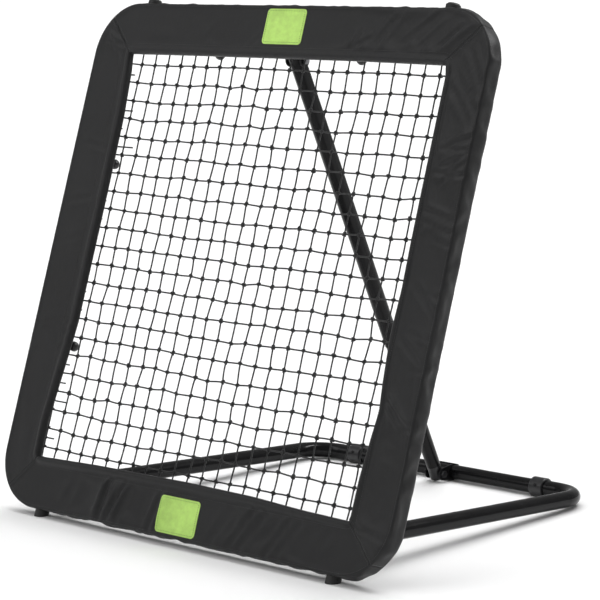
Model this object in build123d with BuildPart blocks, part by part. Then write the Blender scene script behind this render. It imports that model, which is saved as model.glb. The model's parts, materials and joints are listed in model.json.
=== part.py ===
"""Pitch back rebounder: a padded square net frame that leans back on a floor base.

Millimetres. +X is to the right of someone facing the net, +Y points to the back and +Z is up.
The origin is on the ground at the centre of the footprint. The front frame is drawn in its own
leaning plane, where u runs to the right, v runs up the frame from the foot line and n points to
the front. The base is drawn in the sloping plane of its arms and the strut along its own axis.
"""

from build123d import *
from math import acos, cos, degrees, radians, sin, sqrt, tan
import os

os.makedirs("parts", exist_ok=True)

# ---------------------------------------------------------------- driving dimensions
lean_angle = 18.6            # front frame, back from upright
pad_outer = 1212.0           # padded square, outside
pad_width = 119.0            # face of each pad, so the net shows in a 974 mm square
foot_reach = 14.0            # feet and bumpers stand this far out of the pads

bent_tube_r = 19.0           # bent tubes
tube_wall = 1.5
plug_gap = 0.3               # radial, between the base's plugged-in tubes and their sockets
frame_plug_gap = 0.5         # the same for the straight tubes of the frame
tube_from_edge = 59.0        # frame tube centre lines, in from the outside of the pads
corner_bend = 70.0           # centre-line radius of the frame corners
corner_leg = 110.0           # straight leg of a corner tube past its bend
corner_plug = 60.0           # length of straight tube inside each corner tube

pad_round = 125.0            # outside corner radius of the pads
pad_over_tube = 8.0          # pad face, in front of the bent tubes
pad_behind_tube = 3.0        # back edge of the pad, behind the bent tubes
cover_skin = 1.5
hem_width = 32.0             # cover turned in behind the tube's outer side
tube_to_foam = 7.0           # room round the tube's outer side for net cords
tube_gap = 0.4               # between the frame tubes and the foam in front of them

label_width = 120.0
label_height = 82.0
label_thick = 1.2
label_round = 9.0
label_from_opening = 28.0

net_columns = 23
net_rows = 23
net_strand = 2.5
rope_r = 3.0                 # border rope of the net
rope_corner = 18.0
rope_past_sides = 16.7       # border rope, behind the pads at the sides
rope_past_ends = 20.2        # border rope, behind the pads at the top and bottom

bungee_thick = 3.5
bungee_places = (-215.0, 215.0)
ball_r = 12.0
ball_set_back = 14.0         # ball centre, behind the net
ties_from_corner = (107.0, 187.0, 233.0, 284.0, 397.0, 472.0)
tie_thick = 1.2
tie_width = 4.8
tie_head_width = 7.0
tie_head_depth = 4.5
tie_head_lap = 0.75          # head of a tie, sunk into its band
tie_tail_width = 3.4
tie_tail = 48.0              # cut tail of a tie, from the tube's centre line
tie_long_tails = {("left", 1): 70.0, ("left", 3): 98.0, ("left", 10): 68.0, ("right", 8): 80.0}
tie_slot_gap = 0.3           # in the pads round ties and bungees
tie_slot_side = 0.5

foot_from_corner = 88.0      # feet and bumpers, in from the side tubes' centre lines
foot_r = 16.5
foot_length = 40.0
bumper_edge = 4.0
stub_r = 10.0
stub_from_ground = 15.0
foot_gap = 0.5               # hole in the pad round a foot

arm_from_corner = 122.0      # base arms, in from the side tubes' centre lines
arm_bend = 80.0
arm_leg = 69.0               # straight end of an arm past its bend
base_reach = 906.0           # crossbar axis, back from the foot line
crossbar_insert = 44.0       # crossbar inside each arm
collar_wall = 5.0
collar_flat = 3.5            # cut off the collars where they rest on the ground
collar_over_bar = 5.0
collar_over_arm = 33.0
collar_edge = 1.5
screw_r = 2.0                # collar screws
screw_head_r = 4.0
screw_head_thick = 2.0
screw_head_round = 1.4
screw_tilt = 25.0
snug_gap = 0.1               # round what is pushed through and stays put

hinge_above_tube = 14.0      # arm hinge, up from the bottom tube
hinge_clear = 8.0            # between the arms and the bottom tube, at the hinge
hinge_root = (4.0, -14.0)    # where the hinge ears leave the bottom tube, and how wide
hinge_root_r = 14.0
arm_overhang = 13.0          # arm tube past its hinge bolt

strut_below_tube = 51.0      # strut hinge, down from the top tube
strut_clear = 6.0            # between the strut and the top tube, front to back
strut_root = (-7.0, -16.0)   # where the strut ears leave the top tube, and how wide
strut_root_r = 11.0
inner_shown = 348.0          # inner tube below the open end of the outer one
strut_overhang = 14.0        # outer tube past its hinge bolt
strut_insert = 300.0         # inner tube inside the outer one at rest
hook_exposed = 24.0          # end fitting between the inner tube and the foot bolt
hook_past_bolt = 15.0
hook_plug = 30.0
hook_round = 7.0
hook_gap = 0.4               # round the foot bolt, where the hook drops over it
hook_open_angle = 42.0       # how far the mouth of the hook opens up towards the strut
hook_to_bar = 3.8            # between the hook's end and the clevis sleeve

sheet = 3.0                  # bracket steel
side_gap = 1.2               # between a tube and the ear beside it
clevis_slack = 3.0           # between the strut's foot and each clevis ear
clevis_wrap = 6.0            # clevis sleeve past its ears
clevis_open = 4.0            # the sleeve is open from here forward
bolt_r = 5.0
bolt_gap = 0.1               # running clearance in a bore that turns
bolt_hole_gap = 1.0          # in the tube wall round a plug's bore
head_r = 9.0
head_thick = 6.0
nut_r = 8.5
nut_thick = 8.0
nut_cap = 2.0                # nut left over the end of the bolt
nut_dome = 0.8               # foot of the dome, as a share of the nut
nut_dome_taper = 25.0
ear_r = 15.0
plug_length = 34.0           # end plugs of the arms and the strut
plug_rim = 2.0
plug_edge = 1.5

knob_from_end = 26.0         # lock knob, up from the open end of the outer tube
knob_screw_r = 4.0
boss_r = 8.0
boss_height = 10.0
knob_r = 16.0
knob_lobes = 5
knob_lobe_r = 6.5
knob_lobe_in = 2.0           # lobe centres, in from the knob's rim
knob_height = 16.0
knob_edge = 2.5
knob_hub = 4.0
knob_seat_gap = 0.5          # between the knob and its boss
screw_into_knob = 10.0
screw_tip_gap = 0.3
past = 5.0                   # cutters run this far past what they cut

# ---------------------------------------------------------------- planes and derived places
lean = radians(lean_angle)
half_pad = pad_outer / 2
half_opening = half_pad - pad_width
mid_v = foot_reach + half_pad
tube_line = half_pad - tube_from_edge
pad_front = bent_tube_r + pad_over_tube
pad_back = -bent_tube_r - pad_behind_tube
socket_r = bent_tube_r - tube_wall
straight_tube_r = socket_r - frame_plug_gap         # tubes that plug into the frame's corners
plugged_r = socket_r - plug_gap
collar_r = bent_tube_r + collar_wall
crossbar_height = collar_r - collar_flat
front_reach = pad_front * cos(lean) - foot_reach * sin(lean)
frame_y = -(base_reach + collar_r - front_reach) / 2

frame_up = Vector(0, sin(lean), cos(lean))
frame_front = Vector(0, -cos(lean), sin(lean))
frame_plane = Plane(origin=(0, frame_y, 0), x_dir=(1, 0, 0), z_dir=frame_front)
frame_side = Plane(origin=(0, frame_y, 0), x_dir=frame_up, z_dir=(1, 0, 0))


def on_frame(u, v, n):
    """The point at u, v, n of the leaning frame."""
    return frame_plane.origin + Vector(u, 0, 0) + frame_up * v + frame_front * n


bottom_tube_v = mid_v - tube_line
top_tube_v = mid_v + tube_line
hinge_v = bottom_tube_v + hinge_above_tube
hinge_n = -2 * bent_tube_r - hinge_clear
strut_v = top_tube_v - strut_below_tube
strut_n = -straight_tube_r - bent_tube_r - strut_clear
arm_hinge = on_frame(0, hinge_v, hinge_n)
strut_hinge = on_frame(0, strut_v, strut_n)
crossbar_axis = Vector(0, frame_y + base_reach, crossbar_height)
clevis_reach = plugged_r + sheet + hook_to_bar + hook_past_bolt
foot_bolt = crossbar_axis - Vector(0, clevis_reach, 0)

foot_spacing = tube_line - foot_from_corner
arm_spacing = tube_line - arm_from_corner
arm_end_x = arm_spacing - arm_bend - arm_leg

arm_vector = crossbar_axis - arm_hinge
arm_length = arm_vector.length
base_plane = Plane(origin=arm_hinge, x_dir=(1, 0, 0), z_dir=Vector(1, 0, 0).cross(arm_vector))

strut_vector = foot_bolt - strut_hinge
strut_length = strut_vector.length
strut_down = strut_vector.normalized()
strut_side = Plane(origin=strut_hinge, x_dir=strut_down, z_dir=(1, 0, 0))
strut_back = strut_side.y_dir
strut_outer_length = strut_length - hook_exposed - inner_shown


def on_strut(along, back=0.0):
    """The point this far down the strut's axis and this far behind it."""
    return strut_hinge + strut_down * along + strut_back * back


def save(piece, label):
    piece.part.label = label
    export_step(piece.part, f"parts/{label}.step")


def tube_piece(start, direction, length, radius, wall=tube_wall):
    """A straight round tube, or a bar where the wall is the radius."""
    with BuildPart() as piece:
        with BuildSketch(Plane(origin=start, z_dir=direction)):
            Circle(radius)
            if wall < radius:
                Circle(radius - wall, mode=Mode.SUBTRACT)
        extrude(amount=length)
    return piece


def bent_tube(path_plane, points, bend, radius):
    """A tube swept round one bend of a two-leg path."""
    with BuildPart() as piece:
        with BuildLine(path_plane) as path:
            FilletPolyline(*points, radius=bend)
        with BuildSketch(Plane(origin=path.line @ 0, z_dir=path.line % 0)):
            Circle(radius)
            Circle(radius - tube_wall, mode=Mode.SUBTRACT)
        sweep()
    return piece


def drilled(piece, centre, direction, radius, reach, both=True):
    """The piece with a round hole from centre, this far one way or each way."""
    with BuildPart() as result:
        add(piece.part)
        with BuildSketch(Plane(origin=centre, z_dir=direction)):
            Circle(radius)
        extrude(amount=reach, both=both, mode=Mode.SUBTRACT)
    return result


def across_bolt(centre, half_grip, side):
    """A bolt along X with its head on the +X side of the grip when side is 1."""
    head_x = side * half_grip
    with BuildPart() as piece:
        with BuildSketch(Plane.YZ.offset(centre.X + head_x)):
            with Locations((centre.Y, centre.Z)):
                RegularPolygon(head_r, 6)
        extrude(amount=side * head_thick)
        with BuildSketch(Plane.YZ.offset(centre.X + head_x)):
            with Locations((centre.Y, centre.Z)):
                Circle(bolt_r)
        extrude(amount=-side * (2 * half_grip + nut_thick - nut_cap))
    return piece


def across_nut(centre, half_grip, side):
    """A domed nut along X, screwed on against the far side of the grip."""
    seat_x = centre.X - side * half_grip
    with BuildPart() as piece:
        with BuildSketch(Plane.YZ.offset(seat_x)):
            with Locations((centre.Y, centre.Z)):
                RegularPolygon(nut_r, 6)
        extrude(amount=-side * nut_thick / 2)
        with BuildSketch(Plane.YZ.offset(seat_x - side * nut_thick / 2)):
            with Locations((centre.Y, centre.Z)):
                Circle(nut_r * nut_dome)
        extrude(amount=-side * nut_thick / 2, taper=nut_dome_taper)
        with BuildSketch(Plane.YZ.offset(seat_x)):
            with Locations((centre.Y, centre.Z)):
                Circle(bolt_r)
        extrude(amount=-side * (nut_thick - nut_cap), mode=Mode.SUBTRACT)
    return piece


# ---------------------------------------------------------------- frame tubes
side_angles = {"right": 0, "top": 90, "left": 180, "bottom": 270}
leg_end = tube_line - corner_bend - corner_leg      # open end of a corner tube's leg
straight_half = leg_end + corner_plug

for side, angle in side_angles.items():
    outward = Vector(1, 0, 0) * cos(radians(angle)) + frame_up * sin(radians(angle))
    along = frame_front.cross(outward)
    middle = on_frame(0, mid_v, 0) + outward * tube_line
    straight = tube_piece(middle - along * straight_half, along, 2 * straight_half, straight_tube_r)
    save(straight, f"{side}_tube")

corner_signs = {"top_right": (1, 1), "top_left": (-1, 1), "bottom_left": (-1, -1), "bottom_right": (1, -1)}


def corner_route(sign_u, sign_v):
    """The three points that a corner tube's centre line is bent from."""
    return [
        (sign_u * leg_end, mid_v + sign_v * tube_line),
        (sign_u * tube_line, mid_v + sign_v * tube_line),
        (sign_u * tube_line, mid_v + sign_v * leg_end),
    ]


for corner, (sign_u, sign_v) in corner_signs.items():
    bent = bent_tube(frame_plane, corner_route(sign_u, sign_v), corner_bend, bent_tube_r)
    save(bent, f"corner_tube_{corner}")

# ---------------------------------------------------------------- feet and bumpers
foot_stubs = []
for end, sign_v in (("foot", -1), ("bumper", 1)):
    outer_v = mid_v + sign_v * (half_pad + foot_reach)
    for side, sign_u in (("left", -1), ("right", 1)):
        centre = on_frame(sign_u * foot_spacing, outer_v, 0)
        inward = frame_up * -sign_v
        with BuildPart() as cap:
            with BuildSketch(Plane(origin=centre - inward * foot_r, z_dir=inward)):
                Circle(foot_r)
            extrude(amount=foot_r + foot_length)
            with BuildSketch(Plane(origin=centre + inward * stub_from_ground, z_dir=inward)):
                Circle(stub_r)
            extrude(amount=foot_length, mode=Mode.SUBTRACT)
            if sign_v < 0:
                split(bisect_by=Plane.XY, keep=Keep.TOP)
            else:
                split(bisect_by=Plane(origin=centre, z_dir=inward), keep=Keep.TOP)
                chamfer(cap.faces().sort_by(Axis(centre, frame_up))[-1].edges(), bumper_edge)
        save(cap, f"{end}_{side}")
        with BuildPart() as stub:
            with BuildSketch(Plane(origin=centre + inward * stub_from_ground, z_dir=inward)):
                Circle(stub_r)
            extrude(amount=half_pad + foot_reach - tube_line - stub_from_ground)
            tube_centre = on_frame(0, mid_v + sign_v * tube_line, 0)
            with BuildSketch(Plane(origin=tube_centre, z_dir=(1, 0, 0))):
                Circle(bent_tube_r)
            extrude(amount=half_pad, both=True, mode=Mode.SUBTRACT)
        foot_stubs.append(stub.part)

with BuildPart() as stubs:
    add(foot_stubs)
save(stubs, "foot_stubs")

# ---------------------------------------------------------------- hinge and strut brackets on the frame
def frame_bracket(x, tube_v, tube_r, pivot, root, root_r, half_gap):
    """A saddle welded round the back of a frame tube, with two ears that carry a bolt."""
    with BuildPart() as piece:
        for ear_x in (x - half_gap - sheet, x + half_gap):
            with BuildSketch(frame_side.offset(ear_x)):
                with Locations(pivot):
                    Circle(ear_r)
                with Locations((tube_v + root[0], root[1])):
                    Circle(root_r)
                make_hull()
                with Locations(pivot):
                    Circle(bolt_r, mode=Mode.SUBTRACT)
                with Locations((tube_v, 0)):
                    Circle(tube_r, mode=Mode.SUBTRACT)
            extrude(amount=sheet)
        with BuildSketch(frame_side.offset(x - half_gap - sheet)):
            with Locations((tube_v, 0)):
                Circle(tube_r + sheet)
            with Locations((tube_v, tube_r)):
                Rectangle(4 * tube_r, 2 * (tube_r + sheet), mode=Mode.SUBTRACT)
            with Locations((tube_v, 0)):
                Circle(tube_r, mode=Mode.SUBTRACT)
        extrude(amount=2 * (half_gap + sheet))
    return piece


hinge_half_gap = bent_tube_r + side_gap
hinge_grip = hinge_half_gap + sheet
hinge_bolts = []
hinge_nuts = []
for side, sign_u in (("left", -1), ("right", 1)):
    bracket = frame_bracket(
        sign_u * arm_spacing, bottom_tube_v, bent_tube_r, (hinge_v, hinge_n),
        hinge_root, hinge_root_r, hinge_half_gap,
    )
    save(bracket, f"hinge_bracket_{side}")
    pivot = arm_hinge + Vector(sign_u * arm_spacing, 0, 0)
    hinge_bolts.append(across_bolt(pivot, hinge_grip, sign_u).part)
    hinge_nuts.append(across_nut(pivot, hinge_grip, sign_u).part)

with BuildPart() as bolts:
    add(hinge_bolts)
save(bolts, "hinge_bolts")
with BuildPart() as nuts:
    add(hinge_nuts)
save(nuts, "hinge_nuts")

strut_half_gap = bent_tube_r + side_gap
strut_bracket = frame_bracket(
    0, top_tube_v, straight_tube_r, (strut_v, strut_n), strut_root, strut_root_r, strut_half_gap,
)
save(strut_bracket, "strut_bracket")
save(across_bolt(strut_hinge, strut_half_gap + sheet, 1), "strut_bolt")
save(across_nut(strut_hinge, strut_half_gap + sheet, 1), "strut_nut")

# ---------------------------------------------------------------- net, rope, bungees and ties
rope_half_u = half_opening + rope_past_sides
rope_half_v = half_opening + rope_past_ends
net_pitch_u = 2 * rope_half_u / net_columns
net_pitch_v = 2 * rope_half_v / net_rows

with BuildPart() as net:
    with BuildSketch(frame_plane.offset(-net_strand / 2)):
        with Locations((0, mid_v)):
            Rectangle(2 * (rope_half_u - rope_r), 2 * (rope_half_v - rope_r))
            with GridLocations(net_pitch_u, net_pitch_v, net_columns, net_rows):
                Rectangle(net_pitch_u - net_strand, net_pitch_v - net_strand, mode=Mode.SUBTRACT)
    extrude(amount=net_strand)
save(net, "net")

with BuildPart() as rope:
    with BuildLine(frame_plane) as rope_path:
        FilletPolyline(
            (-rope_half_u, mid_v - rope_half_v), (rope_half_u, mid_v - rope_half_v),
            (rope_half_u, mid_v + rope_half_v), (-rope_half_u, mid_v + rope_half_v),
            radius=rope_corner, close=True,
        )
    with BuildSketch(Plane(origin=rope_path.line @ 0, z_dir=rope_path.line % 0)):
        Circle(rope_r)
    sweep()
save(rope, "net_border_rope")


def side_section(side, place):
    """The plane across a frame tube at this place along its side: x runs inward, y to the front."""
    outward_angle = radians(side_angles[side])
    outward = Vector(1, 0, 0) * cos(outward_angle) + frame_up * sin(outward_angle)
    centre = on_frame(0, mid_v, 0) + outward * tube_line + frame_front.cross(outward) * place
    return Plane(origin=centre, x_dir=-outward, z_dir=frame_front.cross(outward))


def rope_distance(side):
    """From a frame tube's centre line in to the border rope on this side."""
    return tube_line - (rope_half_u if side in ("left", "right") else rope_half_v)


def tube_r_at(place):
    return straight_tube_r if abs(place) < leg_end else bent_tube_r


def mid_cell(side, place):
    """The nearest place along a side that is halfway between two strands of the net."""
    if side in ("left", "right"):
        return (round(place / net_pitch_v - net_rows / 2 + 0.5) + net_rows / 2 - 0.5) * net_pitch_v
    return (round(place / net_pitch_u - net_columns / 2 + 0.5) + net_columns / 2 - 0.5) * net_pitch_u


def clear_of_fittings(side, place):
    """Whether a tie fits here, between the brackets and beside the bungees."""
    if any(abs(place - mid_cell(side, wanted)) < 2 * tie_width for wanted in bungee_places):
        return False
    if side in ("left", "right"):
        return True
    return abs(place) < arm_spacing - bent_tube_r - side_gap - sheet - tie_width


def tie_stations(side):
    """Where the ties of this side go, numbered from its first corner."""
    wanted = [tube_line - reach for reach in ties_from_corner]
    places = sorted({mid_cell(side, sign * place) for place in wanted for sign in (-1, 1)})
    return [(number, place) for number, place in enumerate(places) if clear_of_fittings(side, place)]


def tight_band(tube_end_r, rope_end_r, distance):
    """The face inside a line drawn tight round a tube and a rope, which is this far along x."""
    share = (tube_end_r - rope_end_r) / distance
    rise = sqrt(1 - share**2)
    on_tube = (tube_end_r * share, tube_end_r * rise)
    on_rope = (distance + rope_end_r * share, rope_end_r * rise)
    below_tube = (on_tube[0], -on_tube[1])
    below_rope = (on_rope[0], -on_rope[1])
    with BuildSketch() as band:
        with BuildLine():
            Line(on_tube, on_rope)
            ThreePointArc(on_rope, (distance + rope_end_r, 0), below_rope)
            Line(below_rope, below_tube)
            ThreePointArc(below_tube, (-tube_end_r, 0), on_tube)
        make_face()
    return band.sketch


bungee_loops = []
bungee_balls = []
ties = []
for side in side_angles:
    rope_x = rope_distance(side)
    for wanted in bungee_places:
        place = mid_cell(side, wanted)
        tube_r = tube_r_at(place)
        section = side_section(side, place)
        with BuildPart() as loop:
            with BuildSketch(section):
                add(tight_band(tube_r + bungee_thick, rope_r + bungee_thick, rope_x))
                add(tight_band(tube_r, rope_r, rope_x), mode=Mode.SUBTRACT)
            extrude(amount=bungee_thick / 2, both=True)
        bungee_loops.append(loop.part)
        reach = ball_r + rope_r + bungee_thick
        ball_x = rope_x + sqrt(reach**2 - ball_set_back**2)
        ball_centre = section.from_local_coords(Vector(ball_x, -ball_set_back, 0))
        with BuildPart() as ball:
            with Locations(Location(ball_centre)):
                Sphere(ball_r)
        bungee_balls.append(ball.part)
    for number, place in tie_stations(side):
        tube_r = tube_r_at(place)
        section = side_section(side, place)
        head_y = -(tube_r + tie_thick - tie_head_lap + tie_head_depth / 2)
        tail = tie_long_tails.get((side, number), tie_tail)
        with BuildPart() as tie:
            with BuildSketch(section):
                add(tight_band(tube_r + tie_thick, rope_r + tie_thick, rope_x))
                add(tight_band(tube_r, rope_r, rope_x), mode=Mode.SUBTRACT)
            extrude(amount=tie_width / 2, both=True)
            with BuildSketch(section):
                with Locations((0, head_y)):
                    Rectangle(tie_head_width, tie_head_depth)
            extrude(amount=tie_head_width / 2, both=True)
            with BuildSketch(section):
                with Locations((tail / 2, head_y - tie_thick / 2)):
                    Rectangle(tail, tie_thick)
            extrude(amount=tie_tail_width / 2, both=True)
        ties.append(tie.part)

with BuildPart() as bungees:
    add(bungee_loops)
save(bungees, "net_bungees")
with BuildPart() as balls:
    add(bungee_balls)
save(balls, "bungee_balls")
with BuildPart() as cable_ties:
    add(ties)
save(cable_ties, "net_ties")

# ---------------------------------------------------------------- pads: foam inside a sewn cover
def square_ring(back, front, outer, inner, outer_round=0.0, inner_round=0.0):
    """A square ring round the middle of the frame, from one depth to another."""
    with BuildPart() as piece:
        with BuildSketch(frame_plane.offset(back)):
            with Locations((0, mid_v)):
                if outer_round > 0:
                    RectangleRounded(2 * outer, 2 * outer, outer_round)
                else:
                    Rectangle(2 * outer, 2 * outer)
                if inner_round > 0:
                    RectangleRounded(2 * inner, 2 * inner, inner_round, mode=Mode.SUBTRACT)
                else:
                    Rectangle(2 * inner, 2 * inner, mode=Mode.SUBTRACT)
        extrude(amount=front - back)
    return piece.part


pad_inner_back = rope_r + bungee_thick
tube_outside = tube_line + bent_tube_r
outer_foam_from = tube_outside + tube_to_foam
outer_foam_round = pad_round - (half_pad - outer_foam_from)
foam_outer = half_pad - cover_skin
foam_inner = half_opening + cover_skin
flap_outer_edge = tube_line - bent_tube_r
foam_front = pad_front - cover_skin
front_foam_back = bent_tube_r + tube_gap

with BuildPart() as foam_ring:
    add(square_ring(front_foam_back, foam_front, foam_outer, foam_inner, pad_round - cover_skin))
    add(square_ring(pad_inner_back + cover_skin, foam_front, flap_outer_edge, foam_inner))
    add(square_ring(pad_back + cover_skin, foam_front, foam_outer, outer_foam_from,
                    pad_round - cover_skin, outer_foam_round))

with BuildPart() as cover_ring:
    add(square_ring(foam_front, pad_front, half_pad, half_opening, pad_round))
    add(square_ring(pad_back, pad_front, half_pad, foam_outer, pad_round, pad_round - cover_skin))
    add(square_ring(pad_inner_back, pad_front, foam_inner, half_opening))
    add(square_ring(pad_inner_back, pad_inner_back + cover_skin, flap_outer_edge, half_opening))
    add(square_ring(pad_back, pad_back + cover_skin, half_pad, half_pad - hem_width,
                    pad_round, pad_round - hem_width))

with BuildPart() as pad_holes:
    for sign_v in (-1, 1):
        for sign_u in (-1, 1):
            outer_end = on_frame(sign_u * foot_spacing, mid_v + sign_v * (half_pad + past), 0)
            with BuildSketch(Plane(origin=outer_end, z_dir=frame_up * -sign_v)):
                Circle(foot_r + foot_gap)
            extrude(amount=half_pad - tube_line + past)
    for side in side_angles:
        slots = [(mid_cell(side, wanted), bungee_thick, bungee_thick) for wanted in bungee_places]
        slots += [(place, tie_thick, tie_width) for _, place in tie_stations(side)]
        for place, thick, width in slots:
            around = thick + tie_slot_gap
            with BuildSketch(side_section(side, place)):
                add(tight_band(tube_r_at(place) + around, rope_r + around, rope_distance(side)))
            extrude(amount=width / 2 + tie_slot_side, both=True)

corner_bars = []
for sign_u, sign_v in corner_signs.values():
    with BuildPart() as corner_bar:
        with BuildLine(frame_plane) as bar_path:
            FilletPolyline(*corner_route(sign_u, sign_v), radius=corner_bend)
        with BuildSketch(Plane(origin=bar_path.line @ 0, z_dir=bar_path.line % 0)):
            Circle(bent_tube_r + tube_gap)
        sweep()
    corner_bars.append(corner_bar.part)

wedge_reach = half_pad + past
for side, angle in side_angles.items():
    turn = radians(angle)
    corners = [
        (wedge_reach * sqrt(2) * cos(turn + bearing), mid_v + wedge_reach * sqrt(2) * sin(turn + bearing))
        for bearing in (radians(-45), radians(45))
    ]
    for ring, label in ((foam_ring, f"pad_foam_{side}"), (cover_ring, f"pad_cover_{side}")):
        with BuildPart() as pad:
            add(ring.part)
            add(corner_bars, mode=Mode.SUBTRACT)
            with BuildSketch(frame_plane.offset(2 * pad_back)):
                with BuildLine():
                    Polyline((0, mid_v), *corners, close=True)
                make_face()
            extrude(amount=4 * pad_front, mode=Mode.INTERSECT)
            add(pad_holes.part, mode=Mode.SUBTRACT)
        save(pad, label)

for name, centre_v in (
    ("label_top", mid_v + half_opening + label_from_opening + label_height / 2),
    ("label_bottom", mid_v - half_opening - label_from_opening - label_height / 2),
):
    with BuildPart() as label:
        with BuildSketch(frame_plane.offset(pad_front)):
            with Locations((0, centre_v)):
                RectangleRounded(label_width, label_height, label_round)
        extrude(amount=label_thick)
    save(label, name)

# ---------------------------------------------------------------- floor base
def base_point(x, along, above=0.0):
    return base_plane.from_local_coords(Vector(x, along, above))


cross_side = Plane(origin=crossbar_axis, x_dir=(0, 1, 0), z_dir=(1, 0, 0))
arm_back = base_plane.y_dir
collar_inner_x = arm_end_x - collar_over_bar
collar_outer_x = arm_end_x + collar_over_arm
collar_screws = []


def end_plug(end, inward):
    """A plug pushed into the open end of a bent tube, with a rim that covers the end."""
    with BuildPart() as plug:
        with BuildSketch(Plane(origin=end, z_dir=inward)):
            Circle(socket_r)
        extrude(amount=plug_length)
        with BuildSketch(Plane(origin=end, z_dir=inward)):
            Circle(bent_tube_r)
        extrude(amount=-plug_rim)
        chamfer(plug.faces().sort_by(Axis(end, inward))[0].edges(), plug_edge)
    return plug


for side, sign_u in (("left", -1), ("right", 1)):
    arm_path = [
        (sign_u * arm_spacing, -arm_overhang),
        (sign_u * arm_spacing, arm_length),
        (sign_u * arm_end_x, arm_length),
    ]
    pivot = base_point(sign_u * arm_spacing, 0)
    screw_seat = crossbar_axis + Vector(sign_u * (collar_inner_x + collar_outer_x) / 2, 0, 0)
    screw_way = Vector(0, -cos(radians(screw_tilt)), sin(radians(screw_tilt)))
    arm = bent_tube(base_plane, arm_path, arm_bend, bent_tube_r)
    arm = drilled(arm, pivot, (1, 0, 0), bolt_r + bolt_hole_gap, bent_tube_r + past)
    arm = drilled(arm, screw_seat, screw_way, screw_r + snug_gap, collar_r, both=False)
    save(arm, f"arm_{side}")

    plug = end_plug(base_point(sign_u * arm_spacing, -arm_overhang), arm_back)
    save(drilled(plug, pivot, (1, 0, 0), bolt_r + bolt_gap, bent_tube_r + past), f"arm_plug_{side}")

    with BuildPart() as collar:
        with BuildSketch(cross_side.offset(sign_u * collar_inner_x)):
            Circle(collar_r)
            Circle(plugged_r + snug_gap, mode=Mode.SUBTRACT)
        extrude(amount=sign_u * (arm_end_x - collar_inner_x))
        with BuildSketch(cross_side.offset(sign_u * arm_end_x)):
            Circle(collar_r)
            Circle(bent_tube_r, mode=Mode.SUBTRACT)
        extrude(amount=sign_u * (collar_outer_x - arm_end_x))
        for end in (0, -1):
            rim = collar.faces().sort_by(Axis.X)[end].edges().sort_by(SortBy.LENGTH)[-1]
            chamfer(rim, collar_edge)
        split(bisect_by=Plane.XY, keep=Keep.TOP)
    save(drilled(collar, screw_seat, screw_way, screw_r + snug_gap, 2 * collar_r, both=False), f"collar_{side}")

    with BuildPart() as screw:
        with BuildSketch(Plane(origin=screw_seat + screw_way * collar_r, z_dir=screw_way)):
            Circle(screw_head_r)
        extrude(amount=screw_head_thick)
        fillet(screw.faces().sort_by(Axis(screw_seat, screw_way))[-1].edges(), screw_head_round)
        with BuildSketch(Plane(origin=screw_seat + screw_way * (socket_r + snug_gap), z_dir=screw_way)):
            Circle(screw_r)
        extrude(amount=collar_r - socket_r)
    collar_screws.append(screw.part)

with BuildPart() as screws:
    add(collar_screws)
save(screws, "collar_screws")
crossbar_half = arm_end_x + crossbar_insert
crossbar_start = crossbar_axis - Vector(crossbar_half, 0, 0)
save(tube_piece(crossbar_start, (1, 0, 0), 2 * crossbar_half, plugged_r), "crossbar")

# clevis that the strut's foot drops into
clevis_half_gap = plugged_r + clevis_slack
with BuildPart() as clevis:
    for ear_x in (-clevis_half_gap - sheet, clevis_half_gap):
        with BuildSketch(cross_side.offset(ear_x)):
            with Locations((-clevis_reach, 0)):
                Circle(ear_r)
            Circle(plugged_r + sheet)
            make_hull()
            Circle(plugged_r, mode=Mode.SUBTRACT)
            with Locations((-clevis_reach, 0)):
                Circle(bolt_r, mode=Mode.SUBTRACT)
        extrude(amount=sheet)
    with BuildSketch(cross_side.offset(-clevis_half_gap - sheet - clevis_wrap)):
        Circle(plugged_r + sheet)
        with Locations((clevis_open - 2 * plugged_r, 0)):
            Rectangle(4 * plugged_r, 4 * plugged_r, mode=Mode.SUBTRACT)
        Circle(plugged_r, mode=Mode.SUBTRACT)
    extrude(amount=2 * (clevis_half_gap + sheet + clevis_wrap))
save(clevis, "strut_clevis")
save(across_bolt(foot_bolt, clevis_half_gap + sheet, 1), "clevis_bolt")
save(across_nut(foot_bolt, clevis_half_gap + sheet, 1), "clevis_nut")

# ---------------------------------------------------------------- telescoping strut
outer_top = -strut_overhang
knob_along = strut_outer_length - knob_from_end
outer_tube = tube_piece(on_strut(outer_top), strut_down, strut_outer_length - outer_top, bent_tube_r)
outer_tube = drilled(outer_tube, strut_hinge, (1, 0, 0), bolt_r + bolt_hole_gap, bent_tube_r + past)
outer_tube = drilled(outer_tube, on_strut(knob_along), strut_back, knob_screw_r + bolt_gap,
                     bent_tube_r + past, both=False)
save(outer_tube, "strut_outer_tube")

top_plug = end_plug(on_strut(outer_top), strut_down)
save(drilled(top_plug, strut_hinge, (1, 0, 0), bolt_r + bolt_gap, bent_tube_r + past), "strut_top_plug")

with BuildPart() as boss:
    with BuildSketch(Plane(origin=on_strut(knob_along), z_dir=strut_back)):
        Circle(boss_r)
        Circle(knob_screw_r + bolt_gap, mode=Mode.SUBTRACT)
    extrude(amount=bent_tube_r + boss_height)
    with BuildSketch(Plane(origin=on_strut(knob_along - 2 * boss_r), z_dir=strut_down)):
        Circle(bent_tube_r)
    extrude(amount=4 * boss_r, mode=Mode.SUBTRACT)
save(boss, "knob_boss")

inner_start = strut_outer_length - strut_insert
inner_end = strut_length - hook_exposed
save(tube_piece(on_strut(inner_start), strut_down, inner_end - inner_start, plugged_r), "strut_inner_tube")

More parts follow.
